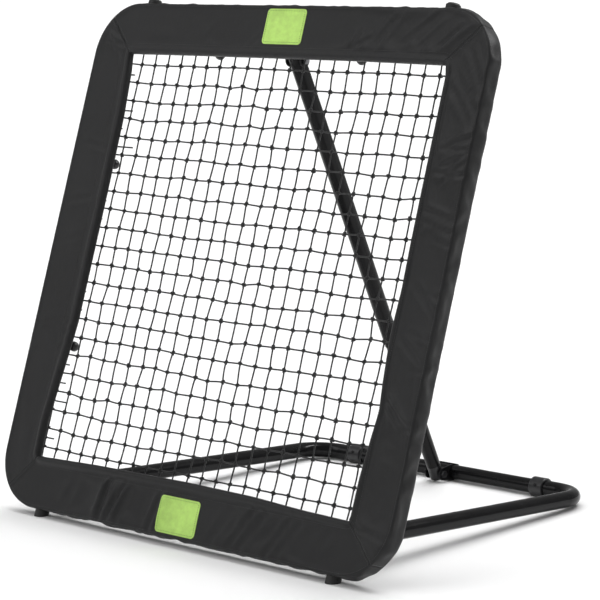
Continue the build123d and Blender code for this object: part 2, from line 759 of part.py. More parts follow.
hook_clear = bolt_r + hook_gap
open_up = radians(hook_open_angle)
with BuildPart() as hook:
    with BuildSketch(Plane(origin=on_strut(inner_end - hook_plug), z_dir=strut_down)):
        Circle(plugged_r - tube_wall)
    extrude(amount=hook_plug + hook_exposed)
    with BuildSketch(Plane(origin=on_strut(inner_end), z_dir=strut_down)):
        Circle(plugged_r)
    extrude(amount=hook_exposed + hook_past_bolt)
    fillet(hook.faces().sort_by(Axis(strut_hinge, strut_down))[-1].edges(), hook_round)
    with BuildSketch(strut_side):
        with Locations((strut_length, 0)):
            Circle(hook_clear)
        with BuildLine():
            rise = hook_clear / cos(open_up)
            side_reach = 2 * plugged_r
            Polyline(
                (strut_length - hook_clear * cos(open_up), -hook_clear * sin(open_up)),
                (strut_length - rise - side_reach * tan(open_up), side_reach),
                (strut_length + side_reach, side_reach),
                (strut_length + side_reach, -hook_clear),
                (strut_length, -hook_clear),
                close=True,
            )
        make_face()
    extrude(amount=2 * plugged_r, both=True, mode=Mode.SUBTRACT)
save(hook, "strut_hook")

# ---------------------------------------------------------------- lock knob
knob_seat = bent_tube_r + boss_height + knob_seat_gap
with BuildPart() as lock_screw:
    with BuildSketch(Plane(origin=on_strut(knob_along, plugged_r + screw_tip_gap), z_dir=strut_back)):
        Circle(knob_screw_r)
    extrude(amount=knob_seat + screw_into_knob - plugged_r - screw_tip_gap)
save(lock_screw, "lock_screw")

with BuildPart() as knob:
    with BuildSketch(Plane(origin=on_strut(knob_along, knob_seat + knob_hub), z_dir=strut_back)):
        Circle(knob_r)
        with PolarLocations(knob_r - knob_lobe_in, knob_lobes):
            Circle(knob_lobe_r)
    extrude(amount=knob_height)
    fillet(knob.faces().sort_by(Axis(strut_hinge, strut_back))[-1].edges(), knob_edge)
    with BuildSketch(Plane(origin=on_strut(knob_along, knob_seat), z_dir=strut_back)):
        Circle(boss_r)
    extrude(amount=knob_hub)
    with BuildSketch(Plane(origin=on_strut(knob_along, knob_seat), z_dir=strut_back)):
        Circle(knob_screw_r)
    extrude(amount=screw_into_knob, mode=Mode.SUBTRACT)
save(knob, "lock_knob")

fold = degrees(acos(arm_vector.normalized().dot(frame_up)))
swing = degrees(acos(strut_down.dot(-frame_up)))
print(f"arm hinge {arm_hinge}, strut hinge {strut_hinge}, foot bolt {foot_bolt}")
print(f"arm length {arm_length:.2f}, strut length {strut_length:.2f}")
print(f"arms stand {fold:.2f} degrees off the frame, the strut {swing:.2f}")
print(f"strut direction {strut_down}, strut back {strut_back}, knob at {on_strut(knob_along)}")
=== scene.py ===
"""Pitch back rebounder: cloth, cord and finishes for a padded net frame on its folding floor base.

Metres, in the packed model's own frame. The front frame leans back, so what belongs to it is drawn
in its leaning axes: u to the right, w up from the middle of the net and n to the front.
"""

import json
import random
from math import ceil, cos, exp, hypot, pi, radians, sin, tau

import bmesh
import bpy
import numpy as np
from bpy.props import FloatProperty, FloatVectorProperty, IntProperty, PointerProperty
from mathutils import Euler, Matrix, Vector, noise
from mathutils.bvhtree import BVHTree

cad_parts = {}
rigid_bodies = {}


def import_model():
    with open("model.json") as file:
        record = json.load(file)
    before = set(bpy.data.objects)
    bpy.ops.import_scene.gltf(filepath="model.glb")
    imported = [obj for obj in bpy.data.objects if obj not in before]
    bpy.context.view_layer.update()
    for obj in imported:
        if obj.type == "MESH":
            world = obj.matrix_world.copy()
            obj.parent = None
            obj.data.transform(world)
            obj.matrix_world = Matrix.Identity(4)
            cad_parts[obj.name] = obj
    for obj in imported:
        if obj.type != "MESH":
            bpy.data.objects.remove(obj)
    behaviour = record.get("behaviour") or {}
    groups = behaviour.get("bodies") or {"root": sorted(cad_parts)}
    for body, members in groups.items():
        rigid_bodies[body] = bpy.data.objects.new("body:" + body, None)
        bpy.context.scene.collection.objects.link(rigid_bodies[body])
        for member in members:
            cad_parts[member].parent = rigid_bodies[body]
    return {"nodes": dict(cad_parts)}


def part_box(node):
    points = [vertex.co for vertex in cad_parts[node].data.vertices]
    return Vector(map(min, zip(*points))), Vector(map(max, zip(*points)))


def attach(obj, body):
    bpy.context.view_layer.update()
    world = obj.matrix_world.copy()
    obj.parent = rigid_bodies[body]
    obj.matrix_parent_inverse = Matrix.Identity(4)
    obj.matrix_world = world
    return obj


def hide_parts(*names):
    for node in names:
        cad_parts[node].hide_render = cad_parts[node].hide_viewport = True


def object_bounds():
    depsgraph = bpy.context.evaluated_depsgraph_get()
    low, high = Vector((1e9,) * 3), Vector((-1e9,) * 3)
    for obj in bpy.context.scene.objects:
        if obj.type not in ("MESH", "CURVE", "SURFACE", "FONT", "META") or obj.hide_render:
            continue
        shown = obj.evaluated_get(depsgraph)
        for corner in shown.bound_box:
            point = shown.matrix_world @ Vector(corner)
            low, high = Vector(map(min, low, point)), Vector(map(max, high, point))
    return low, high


bl_info = {
    "name": "Pitch Back Rebounder",
    "version": (1, 0, 0),
    "blender": (4, 5, 0),
    "location": "View3D > Sidebar > Rebounder",
    "description": "Sews the pads, ties the net and finishes the tubes of a pitch back rebounder",
    "category": "Object",
}

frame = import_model()
CAD_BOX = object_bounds()
SIDES = ("top", "right", "bottom", "left")
CORNERS = ("top_right", "top_left", "bottom_left", "bottom_right")

DARK_CORD = (0.012, 0.012, 0.013)       # rope, elastic and its balls
DARK_NYLON = (0.014, 0.014, 0.015)
DARK_PLASTIC = (0.011, 0.011, 0.012)
DARK_RUBBER = (0.010, 0.010, 0.010)
ROPE_CORNER = 0.018                     # bend of the border rope at the net's corners
ROPE_STEP = 0.0022                      # between the points that the rope's strands are laid through
ROPE_LAY = 0.016                        # length in which a strand goes once round
ELASTIC_THICK = 0.0035
TAIL_START = -0.003                     # where the elastic's tail leaves its loop, from the rope's plane
SETTLING_FRAMES = 24                    # of the cloth simulation
FLOOR_REACH = 40.0
ROUTE_STEPS = 160                       # points along each row of stitches on a side
LAY_FROM = 0.05                         # how far off the pads things are laid onto them from
FOLD_RUN_OUT = 0.02                     # a fold fades out this far past its two ends,
FOLD_FADE = 0.03                        # over this length
RIDGE_OFF = 1.3                         # from a fold's line to the ridge beside it, in half widths
RIDGE_SHARE = 0.55                      # height of the ridge, as a share of the fold's depth
NET_STRAY = (0.6, 0.75, 0.4)            # spread of the knots' strays along u, w and n
SWAY_PITCH = 0.16                       # how fast the pull on the net changes, from one mesh to the next
CORD_SLACK = 0.0008


# ---------------------------------------------------------------- the leaning axes of the front frame
def node_points(node):
    """The corners of a CAD node's mesh, one row each."""
    mesh = frame["nodes"][node].data
    flat = np.zeros(len(mesh.vertices) * 3)
    mesh.vertices.foreach_get("co", flat)
    return flat.reshape(-1, 3)


def net_axes():
    """The middle of the net, and the way up its plane."""
    low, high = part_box("net")
    middle = (low + high) / 2
    spread = node_points("net")[:, 1:] - (middle.y, middle.z)
    along = np.linalg.eigh(spread.T @ spread)[1][:, -1]
    return middle, Vector((0, abs(along[0]), abs(along[1])))


MIDDLE, UP = net_axes()
ACROSS = Vector((1, 0, 0))
FRONT = Vector((0, -UP.z, UP.y))
AXES = np.array((ACROSS, UP, FRONT))


def place(u, w, n):
    """A point given in the leaning axes."""
    return MIDDLE + ACROSS * u + UP * w + FRONT * n


def placed(points):
    """Rows of u, w, n turned into rows of x, y, z."""
    return np.asarray(points, float) @ AXES + np.array(MIDDLE)


def leaning(points):
    """Rows of x, y, z turned into rows of u, w, n."""
    return (np.asarray(points, float) - np.array(MIDDLE)) @ AXES.T


def leaning_box(node):
    """The lowest and highest u, w, n of a CAD node."""
    points = leaning(node_points(node))
    return points.min(0), points.max(0)


def ring_sizes():
    """The padded ring's measures, read from the CAD pads and tubes."""
    points = leaning(node_points("pad_cover_top"))
    outside = points[:, 1].max()
    on_top = points[points[:, 1] > outside - 0.0001]
    tube_low, tube_high = leaning_box("top_tube")
    bend_low, bend_high = leaning_box("corner_tube_top_left")
    return {
        "outside": outside,
        "inside": points[:, 1].min(),
        "front": points[:, 2].max(),
        "back": points[:, 2].min(),
        "straight": abs(on_top[:, 0]).max(),
        "tube": (tube_low[1] + tube_high[1]) / 2,
        "bent_tube_r": (bend_high[2] - bend_low[2]) / 2,
    }


RING = ring_sizes()
FACE_LEAST = RING["bent_tube_r"] + 0.0022    # the pads' faces stay this far in front of the tubes' centres
ROPE_HIGH = leaning_box("net_border_rope")[1]
ROPE_R = ROPE_HIGH[2]
ROPE_U = ROPE_HIGH[0] - ROPE_R
ROPE_W = ROPE_HIGH[1] - ROPE_R


def turned(side, along, out):
    """u and w of a point that is this far along one side and this far out from the middle."""
    return {
        "top": (along, out),
        "right": (out, -along),
        "bottom": (-along, -out),
        "left": (-out, along),
    }[side]


def ring_point(t, out):
    """Along and out of a point on the ring's outline at this distance, with t from -1 to 1 along a side."""
    straight = min(out, RING["straight"])
    bend = max(out - RING["straight"], 0.0)
    reach = t * (straight + bend * pi / 4)
    if abs(reach) <= straight + 1e-9:
        return reach, out
    angle = (abs(reach) - straight) / bend
    across = straight + bend * sin(angle)
    return (across if reach > 0 else -across), straight + bend * cos(angle)


def ring_length(out):
    """Half the length of a side's outline at this distance from the middle."""
    return min(out, RING["straight"]) + max(out - RING["straight"], 0.0) * pi / 4


# ---------------------------------------------------------------- sizes and colours
class RebounderPads(bpy.types.PropertyGroup):
    """The sewn pads."""

    cloth_colour: FloatVectorProperty(
        name="Cloth", description="Coated nylon of the pad covers", subtype="COLOR",
        size=3, min=0, max=1, default=(0.0125, 0.0125, 0.013),
    )
    thread_colour: FloatVectorProperty(
        name="Thread", description="Sewing thread of the seams", subtype="COLOR",
        size=3, min=0, max=1, default=(0.03, 0.03, 0.031),
    )
    foam_colour: FloatVectorProperty(
        name="Foam", description="Foam that shows in the channel for the tube", subtype="COLOR",
        size=3, min=0, max=1, default=(0.03, 0.03, 0.031),
    )
    cell: FloatProperty(
        name="Cell", description="Size of a cell of the sewn cloth before it is smoothed",
        default=0.0075, unit="LENGTH",
    )
    hem: FloatProperty(
        name="Inner Hem", description="Width of the stitched strip beside the net",
        default=0.018, unit="LENGTH",
    )
    crown: FloatProperty(
        name="Crown", description="How far the face stands proud between its seams",
        default=0.0045, unit="LENGTH",
    )
    groove: FloatProperty(
        name="Seam Depth", description="How far a seam is drawn in", default=0.0045, unit="LENGTH",
    )
    pucker: FloatProperty(
        name="Pucker", description="How far the side panels are gathered by their seams",
        default=0.0055, unit="LENGTH",
    )
    creasing: FloatProperty(name="Creasing", description="Depth of the folds, as a share", default=1.8)
    fullness: FloatProperty(
        name="Fullness", description="Spare cloth between the seams, as a share", default=0.045,
    )
    swell: FloatProperty(
        name="Swell", description="The most that the cloth may move while it settles",
        default=0.006, unit="LENGTH",
    )
    tube_room: FloatProperty(
        name="Tube Room", description="Channel beyond the outside of the tube",
        default=0.007, unit="LENGTH",
    )
    back_hem: FloatProperty(
        name="Back Hem", description="Cover turned in behind the tube", default=0.032, unit="LENGTH",
    )
    flap_front: FloatProperty(
        name="Flap", description="Back of the inner flap, in front of the net",
        default=0.0065, unit="LENGTH",
    )


class RebounderStitches(bpy.types.PropertyGroup):
    """The sewing."""

    length: FloatProperty(
        name="Stitch", description="Length of one stitch", default=0.0034, unit="LENGTH",
    )
    pitch: FloatProperty(
        name="Pitch", description="From one stitch to the next", default=0.0050, unit="LENGTH",
    )
    thickness: FloatProperty(
        name="Thread", description="Thickness of the thread", default=0.0009, unit="LENGTH",
    )
    from_seam: FloatProperty(
        name="From Seam", description="From a seam to the row of stitches beside it",
        default=0.005, unit="LENGTH",
    )


class RebounderLabels(bpy.types.PropertyGroup):
    """The plain patches at the top and bottom."""

    colour: FloatVectorProperty(
        name="Patch", description="Cloth of the patches", subtype="COLOR",
        size=3, min=0, max=1, default=(0.46, 0.71, 0.17),
    )
    edge_colour: FloatVectorProperty(
        name="Edge", description="Thread round the patches", subtype="COLOR",
        size=3, min=0, max=1, default=(0.19, 0.33, 0.07),
    )
    thickness: FloatProperty(
        name="Thickness", description="Thickness of a patch", default=0.0011, unit="LENGTH",
    )
    corner: FloatProperty(
        name="Corner", description="Corner radius of a patch", default=0.009, unit="LENGTH",
    )
    border: FloatProperty(
        name="Border", description="From the edge to its stitches", default=0.0045, unit="LENGTH",
    )


class RebounderNet(bpy.types.PropertyGroup):
    """The knotted net."""

    colour: FloatVectorProperty(
        name="Cord", description="Cord of the net", subtype="COLOR",
        size=3, min=0, max=1, default=(0.007, 0.007, 0.0075),
    )
    thickness: FloatProperty(
        name="Cord Size", description="Thickness of the cord", default=0.0037, unit="LENGTH",
    )
    knot: FloatProperty(name="Knot", description="Size of a knot", default=0.0125, unit="LENGTH")
    stray: FloatProperty(
        name="Stray", description="How far a knot strays from its even place",
        default=0.0019, unit="LENGTH",
    )
    sway: FloatProperty(
        name="Sway", description="How far whole patches of the net are pulled aside",
        default=0.0045, unit="LENGTH",
    )
    sag: FloatVectorProperty(
        name="Sag", description="How far the knots hang down, and back from the rope's plane",
        size=2, default=(0.0029, 0.0044), unit="LENGTH",
    )
    columns: IntProperty(name="Columns", description="Meshes across the net", default=23)
    rows: IntProperty(name="Rows", description="Meshes up the net", default=23)


class RebounderSteel(bpy.types.PropertyGroup):
    """The tubes and fittings."""

    paint: FloatVectorProperty(
        name="Paint", description="Gloss paint of the tubes", subtype="COLOR",
        size=3, min=0, max=1, default=(0.006, 0.006, 0.0065),
    )
    zinc: FloatVectorProperty(
        name="Zinc", description="Plated bolts and nuts", subtype="COLOR",
        size=3, min=0, max=1, default=(0.20, 0.20, 0.21),
    )


class RebounderStage(bpy.types.PropertyGroup):
    """Floor, lights and camera."""

    azimuth: FloatProperty(
        name="Azimuth", description="Round from the front", default=radians(43.92), unit="ROTATION",
    )
    elevation: FloatProperty(
        name="Elevation", description="Above the floor", default=radians(7.42), unit="ROTATION",
    )
    roll: FloatProperty(
        name="Roll", description="Turn about the line of sight", default=radians(-0.76), unit="ROTATION",
    )
    distance: FloatProperty(
        name="Distance", description="From the aim to the camera", default=5.61, unit="LENGTH",
    )
    aim: FloatVectorProperty(
        name="Aim", description="What the camera is turned to, from the middle of the net",
        subtype="TRANSLATION", unit="LENGTH", default=(0.0, 0.1522, 0.0124),
    )
    lens: FloatProperty(name="Lens", description="Focal length in millimetres", default=149.2)
    shift: FloatVectorProperty(name="Shift", description="Framing shift", size=2, default=(0.0235, -0.069))
    floor_colour: FloatVectorProperty(
        name="Floor", description="Plain pale floor", subtype="COLOR",
        size=3, min=0, max=1, default=(0.93, 0.93, 0.93),
    )
    sky: FloatProperty(
        name="Even Light", description="Strength of the light from all round", default=0.34,
    )
    key: FloatProperty(
        name="Key Light", description="Strength of the soft light from high behind", default=2.7,
    )
    fill: FloatProperty(
        name="Fill Light", description="Strength of the soft light on the front", default=0.8,
    )
    gleam: FloatProperty(
        name="Gleam", description="Power of the strip light above and behind", default=130.0, unit="POWER",
    )


# ---------------------------------------------------------------- finishes
class Finish:
    """One node-built material, with short ways to add its nodes."""

    def __init__(self, name, roughness=0.5, metallic=0.0):
        self.material = bpy.data.materials.new(name)
        self.material.use_nodes = True
        self.nodes = self.material.node_tree.nodes
        self.links = self.material.node_tree.links
        self.shader = self.nodes["Principled BSDF"]
        self.set("Roughness", roughness)
        self.set("Metallic", metallic)
        self.where = self.add("ShaderNodeTexCoord").outputs["Object"]
        self.sewn = self.add("ShaderNodeUVMap").outputs["UV"]

    def set(self, socket, value):
        """Sets a shader socket, from a node's output or to a plain value."""
        target = self.shader.inputs[socket]
        if isinstance(value, bpy.types.NodeSocket):
            self.links.new(value, target)
        else:
            target.default_value = value

    def add(self, kind, inputs=None, **settings):
        """A new node with these inputs and settings."""
        node = self.nodes.new(kind)
        for key, value in settings.items():
            setattr(node, key, value)
        for key, value in (inputs or {}).items():
            if isinstance(value, bpy.types.NodeSocket):
                self.links.new(value, node.inputs[key])
            else:
                node.inputs[key].default_value = value
        return node

    def noise(self, scale, detail=3.0, roughness=0.55):
        """Cloudy variation, from 0 to 1."""
        inputs = {"Vector": self.where, "Scale": scale, "Detail": detail, "Roughness": roughness}
        return self.add("ShaderNodeTexNoise", inputs).outputs[0]

    def threads(self, direction, pitch, at):
        """Even threads that lie side by side along one direction."""
        inputs = {"Vector": at, "Scale": tau / (20 * pitch), "Distortion": 0.0, "Detail": 0.0}
        node = self.add("ShaderNodeTexWave", inputs, wave_type="BANDS", bands_direction=direction)
        return node.outputs[1]

    def ramp(self, factor, low, high, dark, light):
        """Turns a range of a factor into a blend of two colours."""
        node = self.add("ShaderNodeValToRGB", {0: factor})
        node.color_ramp.elements[0].position = low
        node.color_ramp.elements[1].position = high
        node.color_ramp.elements[0].color = (*dark, 1.0)
        node.color_ramp.elements[1].color = (*light, 1.0)
        return node.outputs[0]

    def spread(self, factor, low, high, start, end):
        """Maps a factor's range onto other numbers."""
        inputs = {"Value": factor, "From Min": low, "From Max": high, "To Min": start, "To Max": end}
        return self.add("ShaderNodeMapRange", inputs).outputs[0]

    def maths(self, operation, first, second):
        """One sum of two numbers."""
        return self.add("ShaderNodeMath", {0: first, 1: second}, operation=operation).outputs[0]

    def bump(self, height, distance, strength=1.0, under=None):
        """Raises the surface by this height, over another bump if there is one."""
        inputs = {"Height": height, "Distance": distance, "Strength": strength}
        if under is not None:
            inputs["Normal"] = under
        return self.add("ShaderNodeBump", inputs).outputs[0]


def shaded(colour, share):
    """A colour made darker or lighter."""
    return tuple(min(1.0, channel * share) for channel in colour)


def cloth_finish(name, colour, pitch=0.0016, roughness=0.46, sheen=0.06):
    """Woven cloth with a satin coat, faint creases and rubbed places."""
    made = Finish(name, roughness)
    warp = made.threads("X", pitch, made.sewn)
    weft = made.threads("Y", pitch, made.sewn)
    weave = made.maths("MULTIPLY", warp, weft)
    broad = made.noise(3.2, 4.0)
    fine = made.noise(60.0, 5.0, 0.7)
    cloud = made.maths("ADD", made.maths("MULTIPLY", broad, 0.65), made.maths("MULTIPLY", fine, 0.35))
    made.set("Base Color", made.ramp(cloud, 0.3, 0.72, shaded(colour, 0.72), shaded(colour, 1.42)))
    made.set("Roughness", made.spread(cloud, 0.3, 0.7, roughness - 0.09, roughness + 0.1))
    made.set("Specular IOR Level", 0.26)
    made.set("Sheen Weight", sheen)
    made.set("Sheen Roughness", 0.45)
    creases = made.bump(made.noise(38.0, 4.0, 0.6), 0.0012, 0.5)
    made.set("Normal", made.bump(weave, 0.00025, 0.35, creases))
    return made.material


def foam_finish(name, colour):
    """Closed-cell foam, with fine pores."""
    made = Finish(name, 0.9)
    pores = made.add("ShaderNodeTexVoronoi", {"Vector": made.where, "Scale": 420.0}).outputs[0]
    cloud = made.noise(26.0, 3.0)
    made.set("Base Color", made.ramp(cloud, 0.35, 0.7, shaded(colour, 0.75), shaded(colour, 1.3)))
    made.set("Normal", made.bump(pores, 0.0006, 0.6))
    return made.material


def thread_finish(name, colour, pitch=0.0009):
    """Twisted thread or cord, dull, with its high strands painted lighter as a painted highlight and painted
    shade in the hollows between them.
    """
    made = Finish(name, 0.62)
    inputs = {"Vector": made.where, "Scale": tau / (20 * pitch), "Distortion": 1.2}
    lay = made.add("ShaderNodeTexWave", inputs, wave_type="BANDS", bands_direction="DIAGONAL").outputs[1]
    cloud = made.noise(90.0, 4.0, 0.65)
    mixed = made.maths("ADD", made.maths("MULTIPLY", lay, 0.4), made.maths("MULTIPLY", cloud, 0.6))
    # painted highlight and shade: the colour is lighter wherever the bump below raises the thread, and darker
    # in its hollows
    made.set("Base Color", made.ramp(mixed, 0.25, 0.8, shaded(colour, 0.7), shaded(colour, 1.7)))
    made.set("Sheen Weight", 0.08)
    made.set("Sheen Roughness", 0.5)
    made.set("Normal", made.bump(mixed, 0.0004, 0.7))
    return made.material


def paint_finish(name, colour, roughness=0.16):
    """Gloss powder coat: a fine orange peel, dust and rubbed grey specks."""
    made = Finish(name, roughness)
    peel = made.noise(230.0, 2.0, 0.5)
    dust = made.noise(9.0, 5.0, 0.7)
    specks = made.noise(520.0, 3.0, 0.8)
    worn = made.spread(dust, 0.5, 0.75, 0.0, 1.0)
    rubbed = made.maths("MULTIPLY", worn, made.spread(specks, 0.62, 0.7, 0.0, 1.0))
    made.set("Base Color", made.ramp(rubbed, 0.0, 1.0, colour, (0.06, 0.06, 0.062)))
    made.set("Roughness", made.spread(dust, 0.3, 0.75, roughness - 0.04, roughness + 0.16))
    made.set("Specular IOR Level", 0.16)
    made.set("Coat Weight", 0.05)
    made.set("Coat Roughness", 0.08)
    made.set("Normal", made.bump(peel, 0.00018, 0.35))
    return made.material


def plated_finish(name, colour):
    """Zinc plate with faint turning marks and dull patches."""
    made = Finish(name, 0.3, 1.0)
    cloud = made.noise(70.0, 5.0, 0.65)
    made.set("Base Color", made.ramp(cloud, 0.3, 0.75, shaded(colour, 0.62), shaded(colour, 1.25)))
    made.set("Roughness", made.spread(cloud, 0.3, 0.75, 0.22, 0.46))
    made.set("Normal", made.bump(made.noise(600.0, 2.0), 0.0001, 0.4))
    return made.material


def moulded_finish(name, colour, roughness=0.42, grain=340.0, depth=0.00022):
    """Moulded plastic or rubber with a fine grain and scuffs."""
    made = Finish(name, roughness)
    cloud = made.noise(22.0, 5.0, 0.7)
    grains = made.add("ShaderNodeTexVoronoi", {"Vector": made.where, "Scale": grain}).outputs[0]
    made.set("Base Color", made.ramp(cloud, 0.3, 0.8, shaded(colour, 0.8), shaded(colour, 1.6)))
    made.set("Roughness", made.spread(cloud, 0.3, 0.75, roughness - 0.06, roughness + 0.14))
    made.set("Normal", made.bump(grains, depth, 0.5))
    return made.material


def finish_nodes(material, *nodes):
    """Gives CAD nodes a finished material in place of their plain one."""
    for node in nodes:
        mesh = frame["nodes"][node].data
        mesh.materials.clear()
        mesh.materials.append(material)


# ---------------------------------------------------------------- meshes
def new_piece(name, points, faces, materials, replaces=(), body="front_frame"):
    """A mesh object that rides on a body of the frame."""
    mesh = bpy.data.meshes.new(name)
    mesh.from_pydata([tuple(point) for point in points], [], [tuple(face) for face in faces])
    mesh.validate()
    for material in materials:
        mesh.materials.append(material)
    mesh.shade_smooth()
    piece = bpy.data.objects.new(name, mesh)
    bpy.context.scene.collection.objects.link(piece)
    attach(piece, body)
    if replaces:
        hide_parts(*replaces)
    return piece


def rings_along(path, closed):
    """Two directions across a path at each of its points, carried along without a twist."""
    count = len(path)
    following = np.roll(path, -1, 0) - path
    before = path - np.roll(path, 1, 0)
    if not closed:
        following[-1] = before[-1]
        before[0] = following[0]
    way = following / np.linalg.norm(following, axis=1)[:, None]
    way = way + before / np.linalg.norm(before, axis=1)[:, None]
    way = way / np.linalg.norm(way, axis=1)[:, None]
    start = np.cross(way[0], np.array(FRONT))
    if np.linalg.norm(start) < 0.1:
        start = np.cross(way[0], np.array(UP))
    first = np.zeros_like(path)
    first[0] = start / np.linalg.norm(start)
    for index in range(1, count):
        carried = first[index - 1] - way[index] * (first[index - 1] @ way[index])
        first[index] = carried / np.linalg.norm(carried)
    return first, np.cross(way, first)


def tube_mesh(paths, radius, sides, closed=False):
    """Points and faces of round tubes of one radius along paths."""
    points, faces = [], []
    angles = np.arange(sides) * tau / sides
    for path in paths:
        path = np.asarray(path, float)
        first, second = rings_along(path, closed)
        start = len(points)
        for at, one, two in zip(path, first, second):
            points.extend(at + radius * (cos(angle) * one + sin(angle) * two) for angle in angles)
        spans = len(path) if closed else len(path) - 1
        for span in range(spans):
            here = start + span * sides
            there = start + (span + 1) % len(path) * sides
            for side in range(sides):
                after = (side + 1) % sides
                faces.append((here + side, here + after, there + after, there + side))
        if not closed:
            faces.append(tuple(range(start + sides - 1, start - 1, -1)))
            last = start + (len(path) - 1) * sides
            faces.append(tuple(range(last, last + sides)))
    return points, faces


def joined(*meshes):
    """Several points-and-faces pairs as one."""
    points, faces = [], []
    for some_points, some_faces in meshes:
        start = len(points)
        points.extend(some_points)
        faces.extend(tuple(start + corner for corner in face) for face in some_faces)
    return points, faces


def islands(node):
    """The separate solids of a CAD node, each as rows of u, w, n."""
    made = bmesh.new()
    made.from_mesh(frame["nodes"][node].data)
    bmesh.ops.remove_doubles(made, verts=made.verts, dist=1e-6)
    made.verts.ensure_lookup_table()
    seen, groups = set(), []
    for seed in made.verts:
        if seed.index in seen:
            continue
        seen.add(seed.index)
        group, waiting = [], [seed]
        while waiting:
            vert = waiting.pop()
            group.append(tuple(vert.co))
            for edge in vert.link_edges:
                other = edge.other_vert(vert)
                if other.index not in seen:
                    seen.add(other.index)
                    waiting.append(other)
        groups.append(leaning(group))
    made.free()
    return groups


# ---------------------------------------------------------------- pads
EDGE_BOWS = {
    # place along the pad (u or w), and how far its inner edge is drawn in towards the net there
    "left": (
        (-0.49, -0.005), (-0.40, -0.006), (-0.30, 0.006), (-0.23, 0.015), (-0.17, 0.021),
        (0.15, 0.022), (0.35, 0.020), (0.45, 0.012), (0.49, 0.004),
    ),
    "right": (
        (-0.49, 0.0), (-0.40, -0.002), (-0.30, -0.012), (-0.25, -0.018), (-0.20, -0.012),
        (-0.10, -0.005), (0.0, -0.010), (0.10, -0.008), (0.45, -0.008), (0.49, 0.0),
    ),
    "top": ((-0.49, 0.004), (-0.25, 0.003), (0.25, 0.003), (0.49, 0.006)),
    "bottom": ((-0.49, 0.0), (-0.30, 0.006), (0.0, 0.009), (0.20, 0.007), (0.35, 0.0), (0.49, -0.003)),
}
FOLDS = {
    # start u, w, end u, w, half the width, and how deep the cloth is folded in
    "left": (
        (-0.556, 0.566, -0.494, 0.522, 0.006, 0.0040), (-0.562, 0.540, -0.490, 0.512, 0.006, 0.0035),
        (-0.566, 0.512, -0.492, 0.499, 0.006, 0.0030), (-0.575, 0.262, -0.492, 0.250, 0.008, 0.0016),
        (-0.580, 0.118, -0.505, 0.131, 0.008, 0.0018), (-0.585, 0.020, -0.520, 0.035, 0.009, 0.0012),
        (-0.580, -0.178, -0.520, -0.168, 0.007, 0.0022), (-0.520, -0.168, -0.480, -0.190, 0.007, 0.0022),
        (-0.585, -0.250, -0.510, -0.236, 0.010, 0.0012), (-0.575, 0.345, -0.510, 0.352, 0.009, 0.0010),
    ),
    "right": (
        (0.600, 0.327, 0.545, 0.309, 0.007, 0.0036), (0.592, 0.300, 0.538, 0.300, 0.006, 0.0026),
        (0.592, 0.290, 0.535, 0.262, 0.006, 0.0030), (0.590, 0.268, 0.548, 0.232, 0.006, 0.0030),
        (0.600, 0.246, 0.525, 0.250, 0.006, 0.0030), (0.585, 0.155, 0.523, 0.168, 0.007, 0.0034),
        (0.600, 0.124, 0.535, 0.140, 0.006, 0.0028), (0.600, 0.098, 0.560, 0.108, 0.006, 0.0020),
        (0.600, -0.012, 0.570, -0.006, 0.007, 0.0026), (0.590, -0.040, 0.530, 0.010, 0.009, 0.0018),
        (0.600, -0.100, 0.550, -0.090, 0.006, 0.0020), (0.585, -0.150, 0.530, -0.110, 0.009, 0.0018),
        (0.596, -0.286, 0.570, -0.276, 0.007, 0.0042), (0.570, -0.276, 0.525, -0.236, 0.007, 0.0042),
        (0.592, 0.385, 0.530, 0.458, 0.009, 0.0030), (0.570, 0.375, 0.525, 0.425, 0.009, 0.0022),
        (0.596, 0.440, 0.552, 0.510, 0.009, 0.0026), (0.600, -0.165, 0.575, -0.168, 0.006, 0.0022),
        (0.585, -0.515, 0.505, -0.500, 0.008, 0.0026), (0.590, -0.350, 0.545, -0.345, 0.012, 0.0010),
    ),
    "top": (
        (0.205, 0.508, 0.270, 0.535, 0.007, 0.0030), (0.215, 0.506, 0.225, 0.545, 0.007, 0.0024),
        (0.285, 0.520, 0.332, 0.585, 0.010, 0.0020), (0.365, 0.528, 0.445, 0.588, 0.009, 0.0026),
        (0.420, 0.522, 0.475, 0.572, 0.009, 0.0028), (0.465, 0.520, 0.510, 0.562, 0.008, 0.0024),
        (-0.240, 0.520, -0.215, 0.550, 0.009, 0.0014), (-0.090, 0.510, -0.070, 0.530, 0.007, 0.0020),
        (0.535, 0.500, 0.560, 0.520, 0.006, 0.0030),
    ),
    "bottom": (
        (-0.248, -0.592, -0.232, -0.512, 0.011, 0.0042), (-0.222, -0.592, -0.182, -0.508, 0.009, 0.0036),
        (-0.190, -0.590, -0.165, -0.520, 0.012, 0.0020), (-0.082, -0.590, -0.064, -0.515, 0.009, 0.0022),
        (0.112, -0.590, 0.150, -0.520, 0.012, 0.0020), (0.168, -0.592, 0.222, -0.506, 0.009, 0.0034),
        (0.200, -0.590, 0.256, -0.512, 0.010, 0.0028), (0.278, -0.592, 0.332, -0.510, 0.009, 0.0034),
        (0.312, -0.586, 0.362, -0.508, 0.010, 0.0024), (0.405, -0.580, 0.440, -0.525, 0.012, 0.0014),
        (-0.370, -0.585, -0.345, -0.530, 0.014, 0.0012),
    ),
}


def edge_bow(side, u, w):
    """How far the inner edge of a pad is drawn in towards the net, beside this point."""
    return float(np.interp(u if side in ("top", "bottom") else w, *zip(*EDGE_BOWS[side])))


